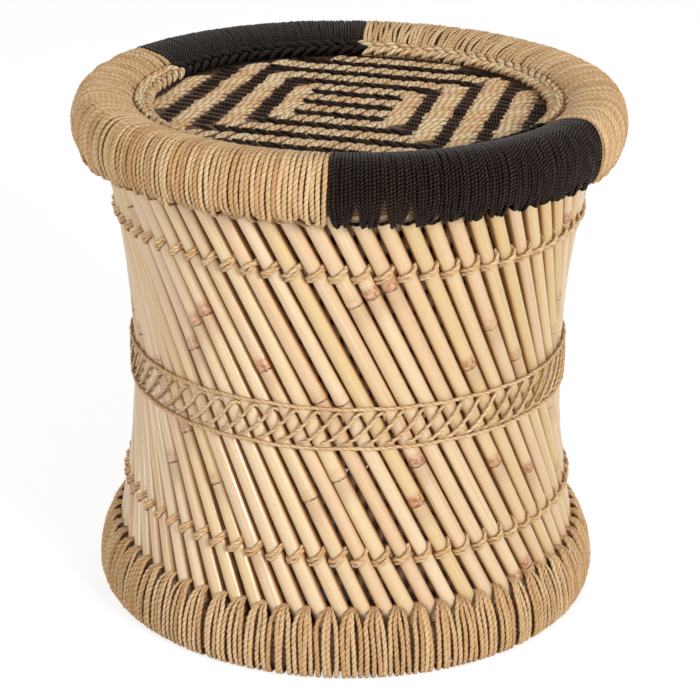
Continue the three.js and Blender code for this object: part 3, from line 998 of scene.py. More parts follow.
@dataclass(frozen=True)
class MatFinish(Finish):
    """The mat under the seat's twine: a tight plain weave whose dark colour is painted shade between the
    stitches.
    """

    name: str = "mat_weave"
    light: Colour = srgb(112, 78, 46)
    dark: Colour = srgb(34, 22, 14)
    yarn: float = 4.2 * MM
    bearing: float = ROW_BEARING

    def inputs(self, graph: Graph, groups: Groups) -> dict[str, Fed]:
        """Crosses two sine ribs, one over the other in turn.

        Args:
            graph: The material's nodes.
            groups: The node groups that finishes share.

        Returns:
            The shader's inputs by name.
        """
        mapped = graph.shader("Mapping", Vector=graph.place(), Rotation=(0.0, 0.0, -self.bearing))
        warp, weft = (
            graph.math("SINE", part * (math.pi / self.yarn)) for part in graph.split(mapped)[:2]
        )
        over = warp * weft
        patch = graph.group(groups.mottle, Scale=60.0, Seed=5.0)
        # Where the crossings sink, the colour goes from light towards dark: painted shade in the weave's
        # hollows.
        share = graph.span(over, -0.9, 0.9, 0.1, 0.6) + 0.3 * patch["Fine"]
        height = graph.math("MAXIMUM", abs(warp), abs(weft)) + over
        return {
            "Base Color": graph.mix(share, self.dark, self.light),
            "Roughness": 0.2 * patch["Fine"] + 0.7, "Normal": graph.bump(height, 1.5 * MM, 0.7),
        }


# Each deep colour is painted shade for the cord's grooves and crevices.
NATURAL = CordFinish(
    "natural_yarn", light=srgb(244, 210, 163), dark=srgb(206, 159, 105), deep=srgb(98, 54, 18), sheen=0.1,
    contrast=0.24, crevice=0.8,
)
TIE = CordFinish(
    "tie_yarn", light=srgb(250, 218, 172), dark=srgb(214, 168, 114), deep=srgb(112, 66, 28), sheen=0.1,
    contrast=0.3, crevice=0.5,
)
BLACK = CordFinish(
    "black_yarn", light=srgb(40, 23, 15), dark=srgb(18, 8, 5), deep=srgb(3, 2, 1),
    fibres=3.0, roughness=0.34, relief=1.0, gloss=0.36, glint=(1.0, 0.84, 0.74), contrast=0.85, crevice=0.95,
)
SEAT_NATURAL = CordFinish(
    "seat_natural", light=srgb(255, 233, 190), dark=srgb(238, 188, 134), deep=srgb(136, 78, 34),
    lay=5.8 * MM, lobes=3.0, fibres=5.0, run=160.0, gloss=0.2, contrast=0.42, crevice=0.45,
)
SEAT_BLACK = CordFinish(
    "seat_black", light=srgb(62, 38, 25), dark=srgb(24, 12, 7), deep=srgb(2, 1, 1),
    lay=-2.6 * MM, lobes=6.0, fibres=3.0, gloss=0.1, glint=(1.0, 0.84, 0.74), contrast=0.95, crevice=0.95,
)
BORDER_BLACK = replace(SEAT_BLACK, light=srgb(45, 35, 30), dark=srgb(20, 13, 11), gloss=0.2)


# The reed wall

@dataclass
class ReedWall:
    """Both layers of reeds, with knuckles, slight bends and rounded feet."""

    outer_diameter: float = 11.9 * MM
    inner_diameter: float = 10.4 * MM
    outer_foot: float = 34.3 * MM
    outer_top: float = 343.7 * MM
    inner_foot: float = 49.8 * MM
    inner_top: float = 339.1 * MM
    internode: float = 235 * MM
    tip: float = 1.9 * MM
    bend: float = 0.45 * MM
    bundles: int = 17
    seed: int = 11
    front_knuckles: tuple[float, ...] = (243, 253, 127, 220, 143, 201, 199.5, 121, 151, 274, 280, 286, 137)
    first_knuckle: int = -6

    def knuckles(self, layer: Layer, rng: np.random.Generator, seen: bool) -> Array:
        """Returns (K, 3) heights of each reed's knuckles, an internode apart.

        Args:
            layer: The layer.
            rng: Source of the differences between the reeds.
            seen: Whether the front reeds take the knuckles that face the viewer.

        Returns:
            (K, 3) heights, lowest first.
        """
        middle = rng.uniform(0.02, 0.02 + self.internode, layer.count)
        if seen:
            front = np.arange(len(self.front_knuckles)) + self.first_knuckle
            middle[front % layer.count] = np.array(self.front_knuckles) * MM
        step = self.internode + rng.uniform(-0.02, 0.02, (layer.count, 2))
        return np.stack([middle - step[:, 0], middle, middle + step[:, 1]], axis=1)

    def swelling(self, past: Array) -> Array:
        """Share of the plain radius at a signed distance past the nearest knuckle.

        Above it the skin swells by 5 %, below it the new length is 4 % thinner and fills out over
        some 15 mm, and a thin groove marks the knuckle itself.

        Args:
            past: Distances past the knuckle, in metres.

        Returns:
            The shares.
        """
        above = 0.05 * np.exp(-((past - 0.0025) / 0.0055) ** 2) * (past > 0)
        below = -0.04 * np.exp(np.minimum(past, 0) / 0.009) * (past <= 0)
        return 1 + above + below - 0.035 * np.exp(-(past / 0.0007) ** 2)

    def shape(self, layer: Layer, foot: float, top: float, sides: int, plain: int, seen: bool) -> Shape:
        """Builds one layer: round sections carried along leaning lines.

        Args:
            layer: The layer's lines.
            foot: Height of the reeds' feet.
            top: Height of their tops.
            sides: Points round a reed.
            plain: Evenly spread stations; more are set close together at the knuckles and ends.
            seen: Whether the front reeds take the knuckles that face the viewer.

        Returns:
            The layer's reeds.
        """
        rng = np.random.default_rng(self.seed + layer.side)
        knuckles = self.knuckles(layer, rng, seen)
        near = np.array([-16, -10, -6, -3, -1.6, -0.7, 0, 0.7, 1.7, 3.2, 5.2, 8, 12]) * MM
        near = near if seen else near[[1, 4, 6, 8, 11]]
        tips = self.tip * np.array([0.03, 0.18, 0.45, 1.0])
        even = np.linspace(foot + self.tip, top - self.tip, plain)[None] * np.ones((layer.count, 1))
        close = (knuckles[:, :, None] + near).reshape(layer.count, -1)
        spare = np.linspace(foot + 0.004, top - 0.004, close.shape[1])
        close = np.where((close > foot + self.tip) & (close < top - self.tip), close, spare)
        ends = np.concatenate([foot + tips, top - tips])[None] * np.ones((layer.count, 1))
        height = np.sort(np.concatenate([even, close, ends], axis=1), axis=1)
        height = height + np.arange(height.shape[1]) * 2e-6

        index = np.arange(layer.count)[:, None]
        scale = math.hypot(1, layer.slope)
        past = (height[:, :, None] - knuckles[:, None, :]) * scale
        nearest = np.take_along_axis(past, np.abs(past).argmin(axis=2)[..., None], axis=2)[..., 0]
        share = (height - foot) / (top - foot)
        bow = rng.normal(0, 1, (layer.count, 3)) * self.bend
        sway = bow[:, :1] * np.sin(math.pi * share) + bow[:, 1:2] * np.sin(TURN * share)
        lift = 0.4 * bow[:, 2:] * np.sin(TURN * share)
        azimuth = layer.azimuth(index, height) + sway / layer.radius(height)
        path = polar(layer.radius(height) + lift, azimuth, height)

        end = np.minimum(height - foot, top - height) / self.tip
        rounding = np.sqrt(1 - (1 - np.clip(end, 0.02, 1)) ** 2)
        thick = self.outer_diameter if seen else self.inner_diameter
        size = 0.5 * thick * rng.uniform(0.95, 1.03, (layer.count, 1)) * self.swelling(nearest) * rounding
        angle = TURN * np.arange(sides) / sides
        flatness = rng.uniform(-0.025, 0.025, (layer.count, 1, 1))
        widest = rng.uniform(0, TURN, (layer.count, 1, 1))
        reach = size[..., None] * (1 + flatness * np.cos(2 * angle + widest))
        section = np.stack([reach * np.cos(angle), reach * np.sin(angle)], axis=-1)
        # The inner layer's tone reaches only 0.8, so it leans a little more to straw than cream: painted
        # shade for the reeds that stand inside the outer layer.
        tone, warmth, flush = (
            np.broadcast_to(rng.uniform(0, most, (layer.count, 1)), height.shape)
            for most in (1 if seen else 0.8, 1, 1)
        )
        return sweep(
            path, polar(1.0, azimuth, 0.0), section,
            tone=tone, warmth=warmth, flush=flush, band=nearest, near=np.exp(-(nearest / 0.015) ** 2),
            proud=np.cos(angle)[None, None],
        )

    def build(self, groups: Groups) -> None:
        """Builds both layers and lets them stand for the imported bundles.

        Args:
            groups: The node groups that finishes share.
        """
        material = ReedFinish().material(groups)
        outer = self.shape(OUTER, self.outer_foot, self.outer_top, sides=12, plain=26, seen=True)
        inner = self.shape(INNER, self.inner_foot, self.inner_top, sides=10, plain=18, seen=False)
        for shape, side in ((outer, "outer"), (inner, "inner")):
            bundles = [f"{side}_reeds_{k:02d}" for k in range(1, self.bundles + 1)]
            shape.piece(f"{side}_reeds", material, "reed", bundles)


# The wound rim

TIE_STEPS = 4
RIM_NECK = 341.4 * MM


def tie_path(
    reed: Array, level: float, places: Array, shake: Array,
    lift: float = 0.0, sway: float = 0.0, leaning: bool = True,
) -> Array:
    """Works out where a tie runs beside each reed.

    Args:
        reed: (N, 1) numbers of the reeds.
        level: Height of the tie's middle.
        places: (P, 3) pitches round from the reed, and millimetres up and out from its middle.
        shake: (N, P) or (N, 1) differences in height.
        lift: Share of the shake that goes outwards too.
        sway: Pitches round for each metre of shake.
        leaning: Whether the places follow the reed's lean.

    Returns:
        (N, P, 3) points.
    """
    height = level + places[:, 1] * MM + shake
    azimuth = OUTER.azimuth(reed, height if leaning else level) + (places[:, 0] + sway * shake) * OUTER.pitch
    return polar(OUTER.radius(height) + places[:, 2] * MM + lift * shake, azimuth, height)


@dataclass
class Arc:
    """A stretch of the rim wound in one colour."""

    name: str
    dye: Dye
    first: int
    gaps: int


def rim_arcs(start: float = -2.0, black: int = 12) -> list[Arc]:
    """Returns the rim's four stretches, from the gap nearest to start degrees.

    Args:
        start: Azimuth in degrees that the first stretch starts near.
        black: Gaps in a black stretch.

    Returns:
        The stretches, from the black front round to the left.
    """
    first = round((math.radians(start) - float(OUTER.azimuth(0.5, RIM_NECK))) / OUTER.pitch)
    natural = OUTER.count // 2 - black
    arcs = []
    for name, dye, gaps in (
        ("black_front", Dye.BLACK, black), ("natural_right", Dye.NATURAL, natural),
        ("black_back", Dye.BLACK, black), ("natural_left", Dye.NATURAL, natural),
    ):
        arcs.append(Arc(name, dye, first, gaps))
        first += gaps
    return arcs


@dataclass(frozen=True)
class Habit:
    """How one colour of cord is wound on the rim, and how far the hand work strays.

    Attributes:
        cord: The cord that is wound.
        hitch: Thickness of the hitch below the winding.
        turns: Turns in each gap.
        step: Distance between stations that are seen.
        tuck: Share of its room that a turn fills at the lower edge.
        pinch: Least and greatest height, in millimetres, at which it fills all of it.
        drift: Stray of a whole turn to the side.
        sway: Stray of a turn to and fro.
        ripple: Stray of a turn in and out.
        unruly: How much more it strays on the inner slope.
        fibres: Stray fibres on each turn.
    """

    cord: Strand
    hitch: float
    turns: int
    step: float
    tuck: float
    pinch: tuple[float, float]
    drift: float
    sway: float
    ripple: float
    unruly: float
    fibres: int


HABITS = {
    Dye.NATURAL: Habit(
        Strand(3.7 * MM, lay=7.4 * MM, groove=0.84), hitch=3.5 * MM, turns=5, step=1.15 * MM, tuck=0.74,
        pinch=(3, 9), drift=0.24 * MM, sway=0.46 * MM, ripple=0.32 * MM, unruly=1.3, fibres=8,
    ),
    Dye.BLACK: Habit(
        Strand(2.9 * MM, lay=5.0 * MM, groove=0.78), hitch=2.6 * MM, turns=7, step=0.8 * MM, tuck=0.56,
        pinch=(6, 11), drift=0.1 * MM, sway=0.24 * MM, ripple=0.16 * MM, unruly=0.3, fibres=0,
    ),
}


def turn_share(places: Array) -> Array:
    """Returns the (1, M) share of a turn run at each station, where steps in radius count for more."""
    length = along(np.concatenate([places, places[:, :1]], axis=1)[None])
    return length / length[:, -1:]


def threaded(gap: Array, turns: int, narrow: float, share: Array) -> Array:
    """Squeezes the turns of each gap side by side, each easing over to the next one's start.

    Args:
        gap: (N, 1) azimuth of each turn's gap.
        turns: Turns in a gap.
        narrow: Share of the pitch that they fill there.
        share: (1, M) share of the turn run.

    Returns:
        (N, M) azimuths.
    """
    room = OUTER.pitch * narrow
    tight = gap + room * ((np.arange(len(gap))[:, None] % turns + 0.5) / turns - 0.5)
    onward = np.concatenate([tight[1:], tight[-1:] + room / turns])
    return tight + (onward - tight) * smooth((share - 0.55) / 0.45)


@dataclass
class Rim:
    """The rim's winding: turns that leave a gap, pass over the hoop and return inside."""

    crest_radius: float = 182.7 * MM
    half_width: float = 17 * MM
    half_height: float = 24.5 * MM
    centre: float = 359.5 * MM
    slope_run: float = 29.5 * MM
    slope_drop: float = 16 * MM
    top: float = 384 * MM
    neck: float = RIM_NECK
    mouth: float = 178.5 * MM
    throat: float = 154 * MM
    lip: float = 352 * MM
    face_start: float = 52.0
    face_end: float = 86.0
    slope_arc: tuple[float, float] = (4, 92)
    narrow: float = 0.22
    core_height: float = 362 * MM
    full_radius: float = 191 * MM
    front_gashes: tuple[float, ...] = (16, 22, 27, 17)
    hidden_step: float = 3 * MM
    hitch_height: float = 337.6 * MM
    seed: int = 5

    def course(self, thickness: float, step: float) -> tuple[Array, Array]:
        """Runs one turn of the cord's middle from the mouth to the throat, in radius and height.

        The face is an ellipse about the hoop's middle, and the inner slope a quarter of a flatter
        one from the crest to the lip. Stations are close on what is seen and far apart underneath.

        Args:
            thickness: The cord's thickness, half of which it lies inside the face.
            step: Distance between stations that are seen.

        Returns:
            (M, 2) radii and heights, and (M,) the share of the side-by-side spacing, 0 in the gap.
        """
        inset = thickness / 2
        face = np.radians(np.linspace(-self.face_start, self.face_end, 48))
        slope = np.radians(np.linspace(*self.slope_arc, 24))
        run = np.concatenate([
            [[self.mouth - 0.004, self.neck], [self.mouth + 0.002, self.neck - 0.0012]],
            np.stack([
                self.crest_radius + (self.half_width - inset) * np.cos(face),
                self.centre + (self.half_height - inset) * np.sin(face),
            ], axis=1),
            np.stack([
                self.crest_radius - (self.slope_run - inset) * np.sin(slope),
                self.top - self.slope_drop + (self.slope_drop - inset) * np.cos(slope),
            ], axis=1),
            [[self.throat, self.lip]],
            [[self.throat + 0.001, self.neck + 0.002], [self.throat + 0.004, self.neck]],
        ])
        length = along(run[None])[0]
        # The turn comes into sight 8 mm outside the mouth, and is hidden again from the lip on.
        seen = length[np.searchsorted(run[:40, 0] - self.mouth, 8 * MM)]
        inside = length[-3]
        stations = np.concatenate([
            np.arange(0, seen, self.hidden_step), np.arange(seen, inside, step),
            np.linspace(inside, length[-1], max(3, round((length[-1] - inside) / self.hidden_step))),
        ])
        places = resampled(stations, length, run)
        kernel = np.array([1, 2, 1]) / 4
        places[1:-1] = np.stack([np.convolve(places[:, k], kernel, "valid") for k in (0, 1)], axis=1)
        spread = smooth((stations - 0.3 * seen) / (0.9 * seen)) * smooth((length[-1] - stations) / 0.02)
        return places, spread

    def winding(self, arc: Arc) -> Shape:
        """Winds one stretch as a single unbroken cord.

        Turn j of n in gap g lies at azimuth gap(g) + pitch ((j + s) / n - 1/2) on the face, with s
        the share of the turn, and at a fraction of that spacing where it passes the gap.

        Args:
            arc: The stretch to wind.

        Returns:
            The cord.
        """
        habit = HABITS[arc.dye]
        cord, turns, tuck = habit.cord, habit.turns, habit.tuck
        places, spread = self.course(cord.thickness, habit.step)
        flat_radius, flat_height = places[None, :, 0], places[None, :, 1]
        spread, share = spread[None], turn_share(places)
        rng = np.random.default_rng(self.seed + arc.first)
        count = arc.gaps * turns
        turn = np.arange(count)[:, None]
        gap = OUTER.azimuth(arc.first + turn // turns + 0.5, self.neck)
        squeezed = threaded(gap, turns, self.narrow, share)
        # Each gap's turns part at a notch of its own height.
        depth = rng.uniform(*habit.pinch, arc.gaps) * MM
        if arc.name == "black_front":
            depth[:len(self.front_gashes)] = np.array(self.front_gashes) * MM
        low = self.centre - self.half_height * math.sin(math.radians(self.face_start))
        rise = (flat_height - low) / np.repeat(depth, turns)[:, None]
        pinch = np.where(
            flat_radius > self.crest_radius, tuck + (1 - tuck) * smooth(rise) ** 0.8,
            np.where(share < 0.3, tuck, 1.0),
        )
        even = gap + OUTER.pitch * pinch * ((turn % turns + share) / turns - 0.5)
        azimuth = squeezed + (even - squeezed) * spread
        # Hand work: turns drift and sway to the side, ripple in and out, and hang unevenly low.
        stray = rng.normal(0, 1, (count, 3))
        wander = rng.uniform(0, TURN, (count, 2))
        sway = habit.sway * (0.6 + 0.4 * stray[:, 1:2]) * np.sin(share * 19 + wander[:, :1])
        unruly = 1 + habit.unruly * smooth((self.crest_radius - flat_radius) / (12 * MM))
        azimuth = azimuth + (habit.drift * stray[:, :1] + sway) * unruly * spread / self.crest_radius
        ripple = habit.ripple * (stray[:, 2:] - 0.4) + 0.14 * MM * np.sin(share * 21 + wander[:, 1:])
        ripple = ripple * unruly
        radius = flat_radius + ripple * spread
        height = flat_height + 0.5 * ripple * spread
        foot = smooth((self.lip - height) / (9 * MM)) * smooth((share - 0.01) / 0.03) * (share < 0.45)
        height = height + rng.uniform(-3.6, 1.4, (count, 1)) * MM * foot
        room = np.minimum(1.0, (flat_radius / self.full_radius) ** 0.8)
        return wound(
            cord, polar(radius, azimuth, height), polar(self.crest_radius, azimuth, self.core_height),
            (0.55 + 0.45 * spread) * room * rng.uniform(0.92, 1.07, (count, 1)), (0.47, 0.34),
            spread * np.ones((count, 1)) > 0.9, habit.fibres, rng,
        )

    def hitches(self, arc: Arc) -> Shape:
        """Lays the small hitch that crosses each reed's top under the winding.

        Args:
            arc: The stretch that they lie under.

        Returns:
            The hitches.
        """
        reed = arc.first + 1 + np.arange(arc.gaps - 1)[:, None]
        places = np.array([
            [-0.56, 1.5, 1.5], [-0.44, -0.6, 5.4], [-0.2, -2.2, 7.7], [0.05, -1.6, 7.8],
            [0.3, -0.2, 6.6], [0.46, 1.6, 3.6], [0.54, 3.4, -1.0],
        ])
        rng = np.random.default_rng(self.seed + 100 + arc.first)
        shake = rng.normal(0, 0.7, reed.shape) * MM
        path = catmull(tie_path(reed, self.hitch_height, places, shake), TIE_STEPS, False)
        cord = Strand(HABITS[arc.dye].hitch, lay=10 * MM, groove=0.84)
        return cord.shape(path, path * LEVEL, tone=toned(rng, 0.5, 0.25, len(reed)))

    def build(self, finishes: dict[Dye, bpy.types.Material]) -> None:
        """Builds the four windings with their hitches.

        Args:
            finishes: The materials of the cords.
        """
        for arc in rim_arcs():
            shape = join([self.winding(arc), self.hitches(arc)])
            name, node = f"rim_winding_{arc.name}", f"rim_wrap_{arc.name}"
            shape.piece(name, finishes[arc.dye], arc.dye.value, [node])


# The wound base ring

@dataclass
class BaseRing:
    """The base ring's winding: four turns fan out from each gap between the reeds' feet."""

    neck: float = 47.6 * MM
    mouth: float = 174.5 * MM
    throat: float = 154.5 * MM
    core_radius: float = 171 * MM
    core_height: float = 22 * MM
    cord: Strand = Strand(3.8 * MM, lay=8.2 * MM, groove=0.8)
    turns: int = 4
    pieces: int = 4
    packed: int = 3
    narrow: float = 0.24
    fullness: float = 0.96
    drift: float = 0.42 * MM
    fibres: int = 7
    step: float = 1.25 * MM
    seed: int = 23

    def course(self) -> tuple[Array, Array]:
        """Runs one turn from the gap out over the feet, under the ring and up inside.

        Returns:
            (M, 2) radii and heights, and (M,) the share of the side-by-side spacing.
        """
        inset = 0.58 * self.cord.thickness
        points = np.array([
            [self.mouth - 0.004, self.neck + 0.001], [self.mouth + 0.002, self.neck],
            [0.1805, 0.0415], [0.1876 - inset, 0.030], [0.1893 - inset, 0.020], [0.1898 - inset, 0.0115],
            [0.1880 - inset, 0.0045], [0.1838 - inset, inset], [0.1765, inset], [0.1680, inset],
            [0.1605, inset], [0.1565, 0.0045], [0.1542, 0.012], [0.1532, 0.024],
            [0.1532, 0.036], [self.throat, self.neck - 0.002], [self.throat + 0.004, self.neck],
        ])
        run = catmull(points, 6, False)
        length = along(run[None])[0]
        # The floor hides the turn from 176 mm inwards, and stations are about twice as far apart.
        under = length[np.argmin(np.abs(run[:, 0] - 176 * MM) + np.abs(run[:, 1] - inset))]
        hidden = round((length[-1] - under) / (2.1 * self.step))
        stations = np.concatenate([np.arange(0, under, self.step), np.linspace(under, length[-1], hidden)])
        places = resampled(stations, length, run)
        spread = smooth((stations + 0.001) / 0.018) ** 0.7 * smooth((length[-1] - stations) / 0.016)
        return places, spread

    def winding(self, first: int, gaps: int) -> Shape:
        """Winds a stretch of gaps as one unbroken cord, spaced as on the rim.

        Args:
            first: Number of the first gap.
            gaps: Number of gaps.

        Returns:
            The cord.
        """
        places, spread = self.course()
        flat_radius, flat_height = places[None, :, 0], places[None, :, 1]
        spread, share = spread[None], turn_share(places)
        rng = np.random.default_rng(self.seed + first)
        count = gaps * self.turns
        turn = np.arange(count)[:, None]
        middle = OUTER.azimuth(first + turn // self.turns + 0.5, self.neck)
        squeezed = threaded(middle, self.turns, self.narrow, share)
        fan = self.fullness + np.repeat(rng.uniform(-0.15, 0.08, (gaps, 1)), self.turns, axis=0)
        even = middle + OUTER.pitch * fan * ((turn % self.turns + share) / self.turns - 0.5)
        drift = self.drift * rng.normal(0, 1, (count, 1))
        drift = drift + self.drift * np.sin(share * 15 + rng.uniform(0, TURN, (count, 1)))
        even = even + drift / self.mouth
        azimuth = squeezed + (even - squeezed) * spread
        ripple = rng.normal(0, 0.22, (count, 1)) * MM
        ripple = ripple + 0.15 * MM * np.sin(share * 17 + rng.uniform(0, TURN, (count, 1)))
        radius = flat_radius + ripple * spread * (flat_height > 4 * MM)
        core = polar(self.core_radius, azimuth, self.core_height)
        free = (flat_radius > 179 * MM) & (flat_height > 9 * MM) & (spread > 0.6)
        return wound(
            self.cord, polar(radius, azimuth, flat_height), core,
            (0.62 + 0.38 * spread) * rng.uniform(0.9, 1.06, (count, 1)), (0.45, 0.26),
            free.repeat(count, axis=0), self.fibres, rng,
        )

    def build(self, finishes: dict[Dye, bpy.types.Material]) -> None:
        """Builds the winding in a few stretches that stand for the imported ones.

        Args:
            finishes: The materials of the cords.
        """
        gaps = OUTER.count // self.pieces
        finish = finishes[Dye.NATURAL]
        for k in range(self.pieces):
            nodes = [f"base_wrap_{k + 1}"] if k < self.packed else []
            self.winding(k * gaps, gaps).piece(f"base_winding_{k + 1}", finish, Dye.NATURAL.value, nodes)


# Lashings and waist band

@dataclass
class Lashing:
    """A cord that climbs across each reed and dives behind it in the gap."""

    name: str
    node: str
    height: float
    cord: Strand = Strand(3.5 * MM, lay=11 * MM, groove=0.8)
    seed: int = 31

    def ring(self, places: Array, seed: int, cord: Strand) -> Shape:
        """Runs one cord all the way round, through the same places beside each reed.

        Args:
            places: (P, 3) places as in tie_path.
            seed: Seed of the small differences from reed to reed.
            cord: The cord.

        Returns:
            The closed cord.
        """
        rng = np.random.default_rng(seed)
        reed = np.arange(OUTER.count)[:, None]
        shake = rng.normal(0, 0.35, (OUTER.count, len(places))) * MM
        points = tie_path(reed, self.height, places, shake, lift=0.3)
        path = catmull(points.reshape(1, -1, 3), TIE_STEPS, True)
        tone = np.repeat(toned(rng, 0.5, 0.2, OUTER.count), len(places) * TIE_STEPS)[None]
        return cord.shape(path, path * LEVEL, True, tone=tone)

    def build(self, finish: bpy.types.Material) -> None:
        """Builds the main cord and the finer strand beside it.

        Args:
            finish: The material of the ties.
        """
        main = np.array([
            [-0.52, -4.5, -2.0], [-0.43, -3.2, 3.2], [-0.16, -1.0, 7.3], [0.16, 1.6, 7.4],
            [0.41, 4.2, 4.4], [0.51, 5.0, -0.5], [0.50, 1.0, -2.5],
        ])
        second = np.array([
            [-0.55, -7.0, -2.2], [-0.46, -5.8, 3.0], [-0.23, -3.9, 6.8], [0.05, -1.6, 7.3],
            [0.28, 0.8, 6.0], [0.46, 3.0, 1.2], [0.50, 0.0, -3.2],
        ])
        shape = join([
            self.ring(main, self.seed, self.cord),
            self.ring(second, self.seed + 1, Strand(3.0 * MM, lay=10 * MM, groove=0.8)),
        ])
        shape.piece(self.name, finish, Dye.NATURAL.value, [self.node])


@dataclass
class WaistBand:
    """Two level rails with slanting hitches between them."""

    spacing: float = 29.6 * MM
    rail: Strand = Strand(3.1 * MM, lay=10.5 * MM, groove=0.82)
    strut: Strand = Strand(2.7 * MM, lay=10 * MM, groove=0.84)
    reach: float = 7.4 * MM
    rail_steps: int = 12 * OUTER.count
    ease: float = 0.25 * MM
    waves: tuple[int, ...] = (3, 7, 13, 29)
    seed: int = 41

    def rail_ring(self, height: float, seed: int) -> Shape:
        """Runs one rail round the reeds, a little wavy.

        Args:
            height: Its height.
            seed: Seed of its waves.

        Returns:
            The closed rail.
        """
        rng = np.random.default_rng(seed)
        azimuth = TURN * np.arange(self.rail_steps)[None] / self.rail_steps
        wave = sum(
            rng.uniform(0.1, 0.3) * np.sin(k * azimuth + rng.uniform(0, TURN)) for k in self.waves
        ) * MM
        level = height + wave
        over_reed = np.cos(OUTER.count * (azimuth - OUTER.azimuth(0, height)))
        radius = OUTER.radius(level) + self.reach + self.ease * over_reed
        path = polar(radius, azimuth, level)
        tone = 0.5 + 0.2 * np.sin(11 * azimuth + 2 * np.sin(5 * azimuth))
        return self.rail.shape(path, path * LEVEL, True, tone=tone)

    def struts(self) -> Shape:
        """Lays a hitch for each reed: from the low rail up to the right, and round into the gap.

        Returns:
            The hitches.
        """
        rng = np.random.default_rng(self.seed)
        places = np.array([
            [-0.66, -9.4, 1.0], [-0.60, -11.6, 4.8], [-0.42, -11.4, 7.6], [-0.05, -7.6, 8.0],
            [0.36, -2.2, 8.1], [0.72, 3.6, 8.0], [0.98, 8.8, 7.7], [1.16, 11.3, 6.9],
            [1.32, 10.4, 4.8], [1.42, 6.6, 2.0], [1.46, 2.0, -1.5],
        ])
        reed = np.arange(OUTER.count)[:, None]
        shake = rng.normal(0, 0.3, (OUTER.count, len(places))) * MM
        points = tie_path(reed, OUTER.waist_height, places, shake, sway=30, leaning=False)
        path = catmull(points, TIE_STEPS, False)
        return self.strut.shape(path, path * LEVEL, tone=toned(rng, 0.5, 0.22, OUTER.count))

    def build(self, finish: bpy.types.Material) -> None:
        """Builds the band as one piece.

        Args:
            finish: The material of the ties.
        """
        shape = join([
            self.rail_ring(OUTER.waist_height + self.spacing / 2, self.seed + 1),
            self.rail_ring(OUTER.waist_height - self.spacing / 2, self.seed + 2),
            self.struts(),
        ])
        shape.piece("waist_cords", finish, Dye.NATURAL.value, ["waist_band"])


# The seat

@dataclass(frozen=True)
class Yarn:
    """A stitch's yarn: width in pitches, height for its width, and how deep it lies in millimetres.

    Black yarn lies deeper by black_drop, and its ends dip by black_dip more.
    """

    width: float
    tall: float
    dip: float
    black_drop: float
    black_dip: float


ROW_YARN = Yarn(width=0.25, tall=0.85, dip=2.9, black_drop=0.2, black_dip=0.5)
COLUMN_YARN = Yarn(width=0.46, tall=0.5, dip=2.4, black_drop=0.7, black_dip=0.7)


